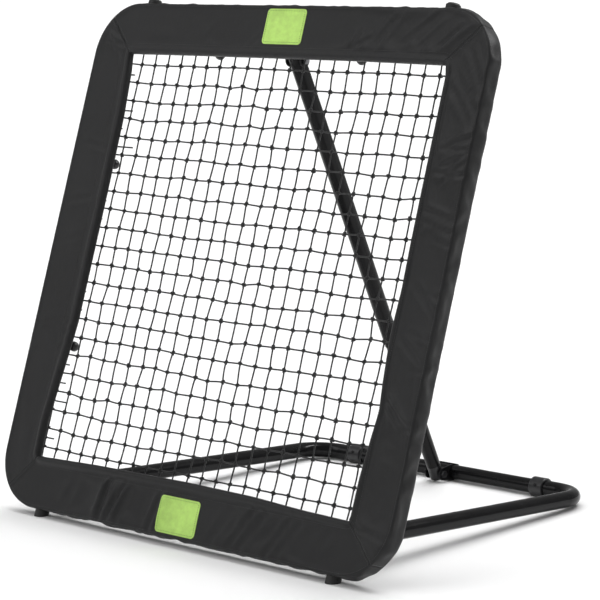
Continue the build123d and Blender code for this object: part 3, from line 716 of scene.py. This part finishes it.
def fold_depth(side, u, w):
    """How deep the folds of a pad are at a point of its face."""
    depth = 0.0
    for start_u, start_w, end_u, end_w, half, deep in FOLDS[side]:
        along_u, along_w = end_u - start_u, end_w - start_w
        length = hypot(along_u, along_w)
        reach = ((u - start_u) * along_u + (w - start_w) * along_w) / length
        if not -FOLD_RUN_OUT < reach < length + FOLD_RUN_OUT:
            continue
        off = ((u - start_u) * along_w - (w - start_w) * along_u) / length
        if abs(off) > 3 * half:
            continue
        from_start = max(0.0, (reach + FOLD_RUN_OUT) / FOLD_FADE)
        from_end = max(0.0, (length + FOLD_RUN_OUT - reach) / FOLD_FADE)
        faded = min(1.0, from_start, from_end)
        trough = exp(-((off / half) ** 2) * 2)
        ridge = sum(exp(-(((off + way * RIDGE_OFF * half) / half) ** 2) * 1.6) for way in (-1, 1))
        depth = max(depth, 0.0) + faded * deep * (trough - RIDGE_SHARE * ridge)
    return depth


def pad_profile(pads):
    """The closed outline across a pad, as rows of out, n, free cloth, material, and which panel it is on."""
    inside, outside, front, back = (RING[key] for key in ("inside", "outside", "front", "back"))
    flap_end = RING["tube"] - RING["bent_tube_r"]
    channel_out = RING["tube"] + RING["bent_tube_r"] + pads.tube_room
    channel_front = RING["bent_tube_r"] + 0.0004
    seam = front - pads.groove
    hem_line = inside + pads.hem
    hem_end = outside - pads.back_hem
    panels = (
        # from, to, crown along (out, n), free, material
        ((flap_end, pads.flap_front), (inside + 0.002, pads.flap_front), (0, 0), 0, 0),
        ((inside, pads.flap_front + 0.002), (inside, seam - 0.001), (-0.0004, 0), 0.3, 0),
        ((inside + 0.002, front - 0.0012), (hem_line, seam), (0, 0.0030), 0.6, 0),
        ((hem_line, seam), (outside - 0.0015, seam), (0, pads.crown), 1, 0),
        ((outside - 0.0015, seam), (outside - 0.0015, back + 0.001), (0.0034, 0), 1, 0),
        ((outside - 0.0015, back + 0.001), (hem_end, back + 0.0005), (0, -0.0005), 0.5, 0),
        ((hem_end, back + 0.0015), (channel_out, channel_front), (0, 0), 0, 1),
        ((channel_out, channel_front), (flap_end, channel_front), (0, 0), 0, 1),
        ((flap_end, channel_front), (flap_end, pads.flap_front), (0, 0), 0, 1),
    )
    rows = []
    for panel, (start, end, crown, free, material) in enumerate(panels):
        length = hypot(end[0] - start[0], end[1] - start[1])
        coarse = 2.2 if material == 1 else 1.0
        count = max(1, round(length / (pads.cell * coarse)))
        for step in range(count):
            share = step / count
            rise = (1 - (2 * share - 1) ** 4) if step else 0.0
            rows.append((
                start[0] + (end[0] - start[0]) * share,
                start[1] + (end[1] - start[1]) * share,
                crown[0] * rise,
                crown[1] * rise,
                free if step else 0,
                material,
                panel,
            ))
    return rows


def pad_mesh(side, pads):
    """One pad as it is cut: points, faces, sewing coordinates, materials, and how free each point is."""
    rows = pad_profile(pads)
    count = round(2 * RING["outside"] / pads.cell)
    points, free, lengths = [], [], []
    walked = 0.0
    walk = []
    for index, row in enumerate(rows):
        before = rows[index - 1]
        walked += hypot(row[0] - before[0], row[1] - before[1]) if index else 0.0
        walk.append(walked)
    seed = Vector((SIDES.index(side) * 7.3, 1.7, 0.0))
    for step in range(count + 1):
        t = (2 * step / count - 1) * (1 - 0.0003 / RING["outside"])
        from_end = min(step, count - step) * pads.cell
        settle = min(1.0, from_end / (3 * pads.cell))
        for row, (out, n, crown_out, crown_n, loose, _, panel) in enumerate(rows):
            along, reach = ring_point(t, out)
            wave = noise.noise(Vector((along * 9, out * 14, n * 20)) + seed)
            lift = settle * (1 + 0.5 * wave)
            shift = crown_out * lift
            if crown_out > 0:
                shift += pads.pucker * settle * noise.noise(Vector((along * 40, n * 25, 3.1)) + seed)
            flat_u, flat_w = turned(side, along, reach)
            inner = (RING["outside"] - out) / (RING["outside"] - RING["inside"])
            bow = edge_bow(side, flat_u, flat_w) * inner ** 1.5
            bent_along, bent_out = ring_point(t, out + shift - bow)
            u, w = turned(side, bent_along, bent_out)
            face_n = n + crown_n * lift
            if crown_n > 0:
                face_n = max(face_n - fold_depth(side, u, w) * loose * pads.creasing, FACE_LEAST)
            points.append((u, w, face_n))
            free.append(loose * settle)
            lengths.append((t * ring_length(out), walk[row]))
    across = len(rows)
    faces, materials, sewn = [], [], []
    for step in range(count):
        for row in range(across):
            after = (row + 1) % across
            corners = (
                step * across + row, step * across + after,
                (step + 1) * across + after, (step + 1) * across + row,
            )
            faces.append(corners)
            materials.append(rows[row][5])
            wrapped = walked if after == 0 else 0.0
            sewn.append([
                (lengths[corner][0], lengths[corner][1] + (wrapped if corner % across == 0 else 0.0))
                for corner in corners
            ])
    first = tuple(range(across - 1, -1, -1))
    last = tuple(range(count * across, (count + 1) * across))
    for cap in (first, last):
        faces.append(cap)
        materials.append(1)
        sewn.append([lengths[corner] for corner in cap])
    return placed(points), faces, sewn, materials, free


def settle_cloth(piece, free, pads):
    """Lets the spare cloth of a pad buckle between its seams, and keeps the settled shape."""
    pinned = piece.vertex_groups.new(name="sewn")
    full = piece.vertex_groups.new(name="full")
    for index, loose in enumerate(free):
        pinned.add([index], 1.0 if loose == 0 else 0.0, "REPLACE")
        full.add([index], loose, "REPLACE")
    cloth = piece.modifiers.new("Cloth", "CLOTH")
    cloth.settings.quality = 6
    cloth.settings.mass = 0.25
    cloth.settings.tension_stiffness = 18.0
    cloth.settings.compression_stiffness = 18.0
    cloth.settings.shear_stiffness = 6.0
    cloth.settings.bending_stiffness = 0.35
    cloth.settings.tension_damping = 12.0
    cloth.settings.compression_damping = 12.0
    cloth.settings.air_damping = 3.0
    cloth.settings.vertex_group_mass = pinned.name
    cloth.settings.vertex_group_shrink = full.name
    cloth.settings.shrink_min = 0.0
    cloth.settings.shrink_max = -pads.fullness
    cloth.settings.use_pressure = True
    cloth.settings.uniform_pressure_force = 1.5
    cloth.settings.effector_weights.gravity = 0.0
    cloth.point_cache.frame_start = 1
    cloth.point_cache.frame_end = SETTLING_FRAMES
    for number in range(1, SETTLING_FRAMES + 1):
        bpy.context.scene.frame_set(number)
    settled = piece.evaluated_get(bpy.context.evaluated_depsgraph_get()).data
    flat = np.zeros(len(settled.vertices) * 3)
    settled.vertices.foreach_get("co", flat)
    piece.modifiers.remove(cloth)
    bpy.context.scene.frame_set(1)
    rest = np.zeros_like(flat)
    piece.data.vertices.foreach_get("co", rest)
    moved = (flat - rest).reshape(-1, 3)
    size = np.linalg.norm(moved, axis=1)
    share = np.minimum(1.0, pads.swell / np.maximum(size, 1e-9))
    before = leaning(rest.reshape(-1, 3))
    after = leaning(rest.reshape(-1, 3) + moved * share[:, None])
    in_front = before[:, 2] >= FACE_LEAST - 1e-6
    after[in_front, 2] = np.maximum(after[in_front, 2], FACE_LEAST)
    piece.data.vertices.foreach_set("co", placed(after).ravel())
    piece.vertex_groups.clear()


def smoothed(piece, rows):
    """Subdivides a pad once, for good, with its two ends and its seams kept sharp."""
    around = len(rows)
    last = len(piece.data.vertices) - around
    seams = {row for row in range(1, around) if rows[row][6] in (3, 4) and rows[row - 1][6] != rows[row][6]}
    creases = piece.data.attributes.new("crease_edge", "FLOAT", "EDGE")
    for edge in piece.data.edges:
        low, high = sorted(edge.vertices)
        at_end = high < around or low >= last
        on_seam = high - low == around and low % around in seams
        creases.data[edge.index].value = 1.0 if at_end or on_seam else 0.0
    modifier = piece.modifiers.new("Smooth", "SUBSURF")
    modifier.levels = 1
    modifier.render_levels = 1
    finer = bpy.data.meshes.new_from_object(piece.evaluated_get(bpy.context.evaluated_depsgraph_get()))
    piece.modifiers.clear()
    rough = piece.data
    piece.data = finer
    bpy.data.meshes.remove(rough)
    finer.name = piece.name
    finer.shade_smooth()


class REBOUNDER_OT_pads(bpy.types.Operator):
    """Sew the four pads and let their cloth settle"""

    bl_idname = "rebounder.pads"
    bl_label = "Pads"

    def execute(self, context):
        pads = context.scene.rebounder_pads
        cloth = cloth_finish("coated_nylon", tuple(pads.cloth_colour))
        foam = foam_finish("pad_foam", tuple(pads.foam_colour))
        for side in SIDES:
            points, faces, sewn, materials, free = pad_mesh(side, pads)
            pad = new_piece(
                f"pad_{side}", points, faces, (cloth, foam),
                replaces=(f"pad_cover_{side}", f"pad_foam_{side}"),
            )
            weave = pad.data.uv_layers.new(name="weave")
            for polygon, corners, material in zip(pad.data.polygons, sewn, materials):
                polygon.material_index = material
                for loop, corner in zip(polygon.loop_indices, corners):
                    weave.data[loop].uv = corner
            settle_cloth(pad, free, pads)
            smoothed(pad, pad_profile(pads))
        return {"FINISHED"}


# ---------------------------------------------------------------- sewing
def pad_surface():
    """The pads' faces, for things that lie on them."""
    pads = [bpy.data.objects[f"pad_{side}"].data for side in SIDES]
    points, faces = joined(*(
        ([vert.co for vert in mesh.vertices], [tuple(face.vertices) for face in mesh.polygons])
        for mesh in pads
    ))
    return BVHTree.FromPolygons(points, faces)


def laid_on(surface, u, w):
    """The point on the pads that is met from the front at this place, and the surface's normal there."""
    point, normal, _, _ = surface.ray_cast(place(u, w, RING["front"] + LAY_FROM), -FRONT)
    if point is None:
        return None
    return point, normal if normal.dot(FRONT) > 0 else -normal


def stitch_mesh(ends, thickness):
    """Short threads, each from one point to another, bowed off the cloth along its normal."""
    points, faces = [], []
    sides = 6
    for start, end, normal in ends:
        along = (end - start).normalized()
        across = along.cross(normal).normalized()
        up = across.cross(along)
        base = len(points)
        middle = (start + end) / 2 + normal * thickness * 0.3
        half = (end - start).length / 2
        points.append(middle - along * half - normal * thickness * 0.5)
        for share, size in ((-0.6, 0.85), (0.6, 0.85)):
            centre = middle + along * half * share
            for side in range(sides):
                angle = tau * side / sides
                points.append(centre + (across * cos(angle) + up * sin(angle)) * thickness / 2 * size)
        points.append(middle + along * half - normal * thickness * 0.5)
        for side in range(sides):
            after = (side + 1) % sides
            faces.append((base, base + 1 + after, base + 1 + side))
            near, far = base + 1, base + 1 + sides
            faces.append((near + side, near + after, far + after, far + side))
            faces.append((far + sides, far + side, far + after))
    return points, faces


def stitches_along(surface, route, stitches):
    """Stitches along a route of u, w points, laid on the surface in front of it."""
    ends = []
    walked = [0.0]
    for before, after in zip(route, route[1:]):
        walked.append(walked[-1] + hypot(after[0] - before[0], after[1] - before[1]))

    def at(distance):
        index = min(int(np.searchsorted(walked, distance, "right")), len(walked) - 1)
        span = walked[index] - walked[index - 1]
        share = (distance - walked[index - 1]) / span if span else 0.0
        (u0, w0), (u1, w1) = route[index - 1], route[index]
        return laid_on(surface, u0 + (u1 - u0) * share, w0 + (w1 - w0) * share)

    for number in range(int(walked[-1] / stitches.pitch)):
        start = at(number * stitches.pitch)
        end = at(number * stitches.pitch + stitches.length)
        if start and end and (end[0] - start[0]).length < 2 * stitches.length:
            ends.append((start[0], end[0], (start[1] + end[1]).normalized()))
    return ends


class REBOUNDER_OT_sewing(bpy.types.Operator):
    """Stitch the pads along their hems, outer seams and mitres"""

    bl_idname = "rebounder.sewing"
    bl_label = "Sewing"

    def execute(self, context):
        pads, stitches = context.scene.rebounder_pads, context.scene.rebounder_stitches
        surface = pad_surface()
        ends = []
        rows = (RING["inside"] + pads.hem + 0.0022, RING["outside"] - stitches.from_seam - 0.0015)
        for side in SIDES:
            for out in rows:
                inset = 1 - stitches.from_seam / ring_length(out)
                steps = np.linspace(-inset, inset, ROUTE_STEPS)
                route = [turned(side, *ring_point(t, out)) for t in steps]
                ends += stitches_along(surface, route, stitches)
            for end in (-1, 1):
                mitre = []
                for out in np.linspace(RING["inside"] + 0.004, RING["outside"] - 0.006, 40):
                    t = end * (1 - stitches.from_seam / ring_length(out))
                    mitre.append(turned(side, *ring_point(t, out)))
                ends += stitches_along(surface, mitre, stitches)
        thread = thread_finish("pad_thread", tuple(pads.thread_colour))
        points, faces = stitch_mesh(ends, stitches.thickness)
        new_piece("pad_stitching", points, faces, (thread,))
        return {"FINISHED"}


# ---------------------------------------------------------------- labels
def rounded_outline(half_u, half_w, corner, step):
    """Points round a rectangle with round corners, evenly spaced, from the middle of its top."""
    straight_u, straight_w = half_u - corner, half_w - corner
    quarter = corner * pi / 2
    lengths = (straight_u, quarter, 2 * straight_w, quarter, 2 * straight_u, quarter, 2 * straight_w,
               quarter, straight_u)
    total = sum(lengths)
    count = ceil(total / step)
    centres = ((1, 1, pi / 2), (1, -1, 0), (-1, -1, -pi / 2), (-1, 1, pi))
    route = []
    for number in range(count):
        distance = total * number / count
        part = 0
        while distance > lengths[part]:
            distance -= lengths[part]
            part += 1
        if part == 0:
            route.append((distance, half_w))
        elif part % 2:
            sign_u, sign_w, start = centres[part // 2]
            angle = start - distance / corner
            route.append((
                sign_u * straight_u + corner * cos(angle), sign_w * straight_w + corner * sin(angle),
            ))
        elif part == 2:
            route.append((half_u, straight_w - distance))
        elif part == 4:
            route.append((straight_u - distance, -half_w))
        elif part == 6:
            route.append((-half_u, -straight_w + distance))
        else:
            route.append((-straight_u + distance, half_w))
    return route


def patch_mesh(surface, centre, half_u, half_w, labels):
    """A thin patch that follows the pad under it, as rings from its middle out to its turned-down edge."""
    outline = rounded_outline(half_u, half_w, labels.corner, 0.004)
    shares = (0.2, 0.4, 0.6, 0.75, 0.87, 0.95, 0.985, 1.0)
    points, sewn = [], []
    around = len(outline)
    for share in shares:
        for u, w in outline:
            spot = laid_on(surface, centre[0] + u * share, centre[1] + w * share)
            rim = 1.0 - 0.35 * (share > 0.99)
            points.append(spot[0] + FRONT * labels.thickness * rim)
            sewn.append((centre[0] + u * share, centre[1] + w * share))
    for u, w in outline:
        spot = laid_on(surface, centre[0] + u * 1.004, centre[1] + w * 1.004)
        points.append(spot[0] - FRONT * labels.thickness)
        sewn.append((centre[0] + u, centre[1] + w))
    faces = [tuple(range(around - 1, -1, -1))]
    for level in range(len(shares)):
        for step in range(around):
            after = (step + 1) % around
            here, there = level * around, (level + 1) * around
            faces.append((here + step, here + after, there + after, there + step))
    bottom = len(points)
    for u, w in outline:
        points.append(placed([(centre[0] + u * 0.5, centre[1] + w * 0.5, RING["front"] - 0.004)])[0])
        sewn.append((centre[0] + u * 0.5, centre[1] + w * 0.5))
    last = len(shares) * around
    for step in range(around):
        after = (step + 1) % around
        faces.append((last + step, last + after, bottom + after, bottom + step))
    faces.append(tuple(range(bottom, bottom + around)))
    return points, faces, sewn


class REBOUNDER_OT_labels(bpy.types.Operator):
    """Lay the two plain patches on the pads and stitch them down"""

    bl_idname = "rebounder.labels"
    bl_label = "Patches"

    def execute(self, context):
        labels, stitches = context.scene.rebounder_labels, context.scene.rebounder_stitches
        surface = pad_surface()
        cloth = cloth_finish("patch_cloth", tuple(labels.colour), pitch=0.0011, roughness=0.7, sheen=0.05)
        thread = thread_finish("patch_thread", tuple(labels.edge_colour))
        for side in ("top", "bottom"):
            low, high = leaning_box(f"label_{side}")
            centre = (low + high) / 2
            half_u, half_w = (high - low)[:2] / 2
            points, faces, sewn = patch_mesh(surface, centre, half_u, half_w, labels)
            patch = new_piece(
                f"patch_{side}", points, faces, (cloth,), replaces=(f"label_{side}",),
            )
            weave = patch.data.uv_layers.new(name="weave")
            for loop in patch.data.loops:
                weave.data[loop.index].uv = sewn[loop.vertex_index]
            top = BVHTree.FromPolygons([vert.co for vert in patch.data.vertices],
                                       [tuple(face.vertices) for face in patch.data.polygons])
            inset = labels.border
            outline = rounded_outline(half_u - inset, half_w - inset, labels.corner - inset, 0.002)
            route = [(centre[0] + u, centre[1] + w) for u, w in outline + outline[:1]]
            ends = stitches_along(top, route, stitches)
            points, faces = stitch_mesh(ends, stitches.thickness * 1.5)
            new_piece(f"patch_stitching_{side}", points, faces, (thread,))
        return {"FINISHED"}


# ---------------------------------------------------------------- net and lashings
def knot_path(size, turn, tilt):
    """A small overhand knot drawn tight, as a closed path round its middle."""
    steps = np.arange(18) * tau / 18
    path = np.stack([
        np.sin(steps) + 2 * np.sin(2 * steps),
        np.cos(steps) - 2 * np.cos(2 * steps),
        -1.1 * np.sin(3 * steps),
    ], 1) * size / 8.4
    return path @ np.array(Euler((tilt, tilt * 0.7, turn)).to_matrix()).T


class REBOUNDER_OT_net(bpy.types.Operator):
    """Tie the net, with a knot at every crossing"""

    bl_idname = "rebounder.net"
    bl_label = "Net"

    def execute(self, context):
        net = context.scene.rebounder_net
        chance = random.Random(11)
        columns, rows = net.columns, net.rows
        knots = np.zeros((columns + 1, rows + 1, 3))
        for column in range(columns + 1):
            for row in range(rows + 1):
                from_edge = min(column, columns - column, row, rows - row)
                hung = min(1.0, from_edge / 2)
                stray = net.stray * hung
                patch = Vector((column * SWAY_PITCH, row * SWAY_PITCH, 4.2))
                sway = noise.noise_vector(patch) * net.sway * hung
                knots[column, row] = (
                    ROPE_U * (2 * column / columns - 1) + chance.gauss(0, stray * NET_STRAY[0]) + sway.x,
                    ROPE_W * (2 * row / rows - 1) + chance.gauss(0, stray * NET_STRAY[1])
                    + sway.y - net.sag[0] * hung,
                    chance.gauss(0, stray * NET_STRAY[2]) - net.sag[1] * hung,
                )
        strands = []

        def strand(start, end):
            slack = [chance.uniform(-1, 1) * CORD_SLACK for _ in range(2)]
            across = np.array((start[1] - end[1], end[0] - start[0], 0.0))
            across /= max(np.linalg.norm(across), 1e-9)
            path = []
            for share in (0.0, 0.2, 0.4, 0.6, 0.8, 1.0):
                bow = 4 * share * (1 - share)
                path.append(start + (end - start) * share + across * slack[0] * bow
                            + np.array((0, 0, 1.0)) * slack[1] * bow)
            strands.append(placed(path))

        for column in range(1, columns):
            for row in range(rows):
                strand(knots[column, row], knots[column, row + 1])
        for row in range(1, rows):
            for column in range(columns):
                strand(knots[column, row], knots[column + 1, row])
        cord = thread_finish("net_cord", tuple(net.colour), 0.0016)
        strand_mesh = tube_mesh(strands, net.thickness / 2, 6)
        knot_paths = []
        for column in range(1, columns):
            for row in range(1, rows):
                size = net.knot * chance.uniform(0.9, 1.08)
                path = knot_path(size, chance.uniform(0, tau), chance.uniform(-0.3, 0.3))
                knot_paths.append(placed(knots[column, row] + path))
        knot_mesh = tube_mesh(knot_paths, net.thickness / 2 * 1.15, 5, closed=True)
        hitch_paths = []
        around = np.arange(12) * tau / 12
        hitch = ROPE_R + net.thickness * 0.45
        for column in range(1, columns):
            for row in (0, rows):
                ring = np.stack([0.0006 * around, hitch * np.cos(around), hitch * np.sin(around)], 1)
                hitch_paths.append(placed(knots[column, row] + ring))
        for row in range(1, rows):
            for column in (0, columns):
                ring = np.stack([hitch * np.cos(around), 0.0006 * around, hitch * np.sin(around)], 1)
                hitch_paths.append(placed(knots[column, row] + ring))
        hitch_mesh = tube_mesh(hitch_paths, net.thickness / 2, 6, closed=True)
        points, faces = joined(strand_mesh, knot_mesh, hitch_mesh)
        new_piece("knotted_net", points, faces, (cord,), replaces=("net",))
        return {"FINISHED"}


class REBOUNDER_OT_rope(bpy.types.Operator):
    """Lay the three-strand rope round the edge of the net"""

    bl_idname = "rebounder.rope"
    bl_label = "Border Rope"

    def execute(self, context):
        outline = rounded_outline(ROPE_U, ROPE_W, ROPE_CORNER, ROPE_STEP)
        centre = placed([(u, w, 0.0) for u, w in outline])
        first, second = rings_along(centre, True)
        strand_r = ROPE_R * 0.56
        offset = ROPE_R - strand_r
        turns = round(len(centre) * ROPE_STEP / ROPE_LAY)
        paths = []
        for strand in range(3):
            angles = np.arange(len(centre)) * tau * turns / len(centre) + strand * tau / 3
            around = np.cos(angles)[:, None] * first + np.sin(angles)[:, None] * second
            paths.append(centre + offset * around)
        points, faces = tube_mesh(paths, strand_r, 6, closed=True)
        cord = thread_finish("rope_fibre", DARK_CORD, 0.002)
        new_piece("border_rope", points, faces, (cord,),
                  replaces=("net_border_rope",))
        return {"FINISHED"}


def loop_station(points):
    """Which side these points are on, and their place along it."""
    centre = (points.min(0) + points.max(0)) / 2
    reach = {"top": centre[1], "bottom": -centre[1], "left": -centre[0], "right": centre[0]}
    side = max(SIDES, key=reach.get)
    along = {"top": centre[0], "bottom": -centre[0], "right": -centre[1], "left": centre[1]}[side]
    return side, along


def rope_out(side):
    """How far the border rope is from the middle on this side."""
    return ROPE_U if side in ("left", "right") else ROPE_W


def band_route(tube_r, rope_r, out_rope):
    """A closed route round the tube and the rope, as rows of out and n."""
    turn = np.arcsin((tube_r - rope_r) / (RING["tube"] - out_rope))
    near = np.linspace(pi / 2 + turn, 3 * pi / 2 - turn, 9)
    far = np.linspace(-pi / 2 - turn, pi / 2 + turn, 19)
    rows = [(out_rope + rope_r * cos(angle), rope_r * sin(angle)) for angle in near]
    rows += [(RING["tube"] + tube_r * cos(angle), tube_r * sin(angle)) for angle in far]
    return rows


class REBOUNDER_OT_bungees(bpy.types.Operator):
    """Loop the elastic cords round the tube and the rope"""

    bl_idname = "rebounder.bungees"
    bl_label = "Bungees"

    def execute(self, context):
        loops, tails = [], []
        for points in islands("net_bungees"):
            side, along = loop_station(points)
            middle_r = points[:, 2].max() - ELASTIC_THICK / 2
            rows = band_route(middle_r, ROPE_R + ELASTIC_THICK / 2, rope_out(side))
            loops.append(placed([(*turned(side, along, out), n) for out, n in rows]))
        for points in islands("bungee_balls"):
            ball = points.mean(0)
            side, along = loop_station(np.array([ball]))
            start = np.array((*turned(side, along, rope_out(side) - ROPE_R), TAIL_START))
            tails.append(placed([start, (start + ball) / 2, ball]))
        loop_mesh = tube_mesh(loops, ELASTIC_THICK / 2, 8, closed=True)
        points, faces = joined(loop_mesh, tube_mesh(tails, ELASTIC_THICK * 0.7, 8))
        elastic = thread_finish("elastic_cord", DARK_CORD, 0.0012)
        new_piece("bungee_cords", points, faces, (elastic,),
                  replaces=("net_bungees",))
        finish_nodes(moulded_finish("ball_plastic", DARK_CORD, 0.3), "bungee_balls")
        return {"FINISHED"}


class REBOUNDER_OT_ties(bpy.types.Operator):
    """Finish the cable ties"""

    bl_idname = "rebounder.ties"
    bl_label = "Cable Ties"

    def execute(self, context):
        nylon = moulded_finish("tie_nylon", DARK_NYLON, 0.36, grain=700.0, depth=0.0001)
        finish_nodes(nylon, "net_ties")
        return {"FINISHED"}


# ---------------------------------------------------------------- steel, plastic and rubber
class REBOUNDER_OT_steel(bpy.types.Operator):
    """Paint the tubes and brackets, and plate the bolts"""

    bl_idname = "rebounder.steel"
    bl_label = "Steel"

    def execute(self, context):
        steel = context.scene.rebounder_steel
        paint = paint_finish("gloss_paint", tuple(steel.paint))
        satin = paint_finish("bracket_paint", shaded(tuple(steel.paint), 1.5), 0.3)
        zinc = plated_finish("zinc_plate", tuple(steel.zinc))
        finish_nodes(paint, *(f"{side}_tube" for side in SIDES))
        finish_nodes(paint, *(f"corner_tube_{corner}" for corner in CORNERS))
        finish_nodes(paint, "arm_left", "arm_right", "crossbar", "strut_outer_tube", "strut_inner_tube")
        finish_nodes(satin, "hinge_bracket_left", "hinge_bracket_right", "strut_bracket", "strut_clevis",
                     "foot_stubs", "knob_boss", "collar_screws")
        finish_nodes(zinc, "hinge_bolts", "hinge_nuts", "strut_bolt", "strut_nut", "clevis_bolt", "clevis_nut",
                     "lock_screw")
        return {"FINISHED"}


class REBOUNDER_OT_plastics(bpy.types.Operator):
    """Finish the moulded and rubber pieces"""

    bl_idname = "rebounder.plastics"
    bl_label = "Plastics"

    def execute(self, context):
        plastic = moulded_finish("moulded_plastic", DARK_PLASTIC, 0.34)
        rubber = moulded_finish("foot_rubber", DARK_RUBBER, 0.55, grain=500.0)
        finish_nodes(plastic, "collar_left", "collar_right", "arm_plug_left", "arm_plug_right",
                     "strut_top_plug", "strut_hook", "lock_knob")
        finish_nodes(rubber, "foot_left", "foot_right", "bumper_left", "bumper_right")
        return {"FINISHED"}


# ---------------------------------------------------------------- stage
def strip_light(name, at, aim, size, power):
    """A strip light turned to a point, which only gleams on gloss."""
    data = bpy.data.lights.new(name, "AREA")
    data.shape = "RECTANGLE"
    data.size, data.size_y = size
    data.energy = power
    light = bpy.data.objects.new(name, data)
    light.location = at
    light.rotation_mode = "QUATERNION"
    light.rotation_quaternion = (Vector(aim) - Vector(at)).to_track_quat("-Z", "Y")
    light.visible_diffuse = False
    bpy.context.scene.collection.objects.link(light)


def sun_light(name, towards, width, strength, gleams=True):
    """A broad even light that comes from one direction, and may show in gloss or not."""
    data = bpy.data.lights.new(name, "SUN")
    data.angle = width
    data.energy = strength
    light = bpy.data.objects.new(name, data)
    light.rotation_mode = "QUATERNION"
    light.rotation_quaternion = Vector(towards).to_track_quat("Z", "Y")
    light.visible_glossy = gleams
    bpy.context.scene.collection.objects.link(light)


def studio_world(strength):
    """White surroundings, which light the model less than they show."""
    world = bpy.data.worlds.new("studio")
    world.use_nodes = True
    nodes, links = world.node_tree.nodes, world.node_tree.links
    seen = nodes.new("ShaderNodeLightPath").outputs["Is Camera Ray"]
    level = nodes.new("ShaderNodeMapRange")
    level.inputs["To Min"].default_value = strength
    level.inputs["To Max"].default_value = 1.0
    links.new(seen, level.inputs["Value"])
    nodes["Background"].inputs["Color"].default_value = (1, 1, 1, 1)
    links.new(level.outputs[0], nodes["Background"].inputs["Strength"])
    return world


class REBOUNDER_OT_stage(bpy.types.Operator):
    """Set up the floor, the soft light and the camera"""

    bl_idname = "rebounder.stage"
    bl_label = "Stage"

    def execute(self, context):
        stage = context.scene.rebounder_stage
        low, high = CAD_BOX
        middle = (low + high) / 2
        quarters = ((-1, -1), (1, -1), (1, 1), (-1, 1))
        corners = [(FLOOR_REACH * x, FLOOR_REACH * y, low.z) for x, y in quarters]
        mesh = bpy.data.meshes.new("floor")
        mesh.from_pydata(corners, [], [(0, 1, 2, 3)])
        pale = Finish("pale_floor", 0.85)
        cloud = pale.noise(1.2, 2.0)
        shade = tuple(stage.floor_colour)
        pale.set("Base Color", pale.ramp(cloud, 0.2, 0.8, shaded(shade, 0.99), shade))
        mesh.materials.append(pale.material)
        floor = bpy.data.objects.new("floor", mesh)
        context.scene.collection.objects.link(floor)

        context.scene.world = studio_world(stage.sky)
        sun_light("key_light", (-0.7, 1.5, 3.4), radians(62), stage.key, gleams=False)
        sun_light("fill_light", (-1.4, -2.2, 2.4), radians(40), stage.fill)
        strip_light("gleam_light", middle + Vector((1.6, 1.8, 3.2)), middle, (0.3, 3.6), stage.gleam)

        camera = bpy.data.objects.new("camera", bpy.data.cameras.new("camera"))
        context.scene.collection.objects.link(camera)
        context.scene.camera = camera
        a, e, r = stage.azimuth, stage.elevation, stage.roll
        sight = Vector((-sin(a) * cos(e), cos(a) * cos(e), -sin(e)))
        right = Vector((cos(a), sin(a), 0))
        above = right.cross(sight)
        across = right * cos(r) + above * sin(r)
        upward = above * cos(r) - right * sin(r)
        at = MIDDLE + Vector(stage.aim) - sight * stage.distance
        turn = Matrix((across, upward, -sight)).transposed().to_4x4()
        camera.matrix_world = Matrix.Translation(at) @ turn
        camera.data.lens = stage.lens
        camera.data.sensor_width = 36.0
        camera.data.shift_x, camera.data.shift_y = stage.shift
        camera.data.clip_end = 200.0
        context.scene.view_settings.view_transform = "Standard"
        return {"FINISHED"}


# ---------------------------------------------------------------- add-on
OPERATORS = (
    REBOUNDER_OT_stage,
    REBOUNDER_OT_steel,
    REBOUNDER_OT_plastics,
    REBOUNDER_OT_net,
    REBOUNDER_OT_rope,
    REBOUNDER_OT_bungees,
    REBOUNDER_OT_ties,
    REBOUNDER_OT_pads,
    REBOUNDER_OT_sewing,
    REBOUNDER_OT_labels,
)
GROUPS = {
    "rebounder_pads": RebounderPads,
    "rebounder_stitches": RebounderStitches,
    "rebounder_labels": RebounderLabels,
    "rebounder_net": RebounderNet,
    "rebounder_steel": RebounderSteel,
    "rebounder_stage": RebounderStage,
}


class REBOUNDER_PT_panel(bpy.types.Panel):
    """Sizes, colours and pieces of the rebounder"""

    bl_idname = "REBOUNDER_PT_panel"
    bl_label = "Pitch Back Rebounder"
    bl_space_type = "VIEW_3D"
    bl_region_type = "UI"
    bl_category = "Rebounder"

    def draw(self, context):
        layout = self.layout
        for attribute, group in GROUPS.items():
            box = layout.box()
            box.label(text=group.__doc__)
            for name in group.__annotations__:
                box.prop(getattr(context.scene, attribute), name)
        for operator in OPERATORS:
            layout.operator(operator.bl_idname)


def register():
    for group in GROUPS.values():
        bpy.utils.register_class(group)
    for attribute, group in GROUPS.items():
        setattr(bpy.types.Scene, attribute, PointerProperty(type=group))
    for operator in OPERATORS:
        bpy.utils.register_class(operator)
    bpy.utils.register_class(REBOUNDER_PT_panel)


def unregister():
    bpy.utils.unregister_class(REBOUNDER_PT_panel)
    for operator in reversed(OPERATORS):
        bpy.utils.unregister_class(operator)
    for attribute in GROUPS:
        delattr(bpy.types.Scene, attribute)
    for group in reversed(GROUPS.values()):
        bpy.utils.unregister_class(group)


def main():
    register()
    for operator in OPERATORS:
        family, name = operator.bl_idname.split(".")
        getattr(getattr(bpy.ops, family), name)()


if __name__ == "__main__":
    main()
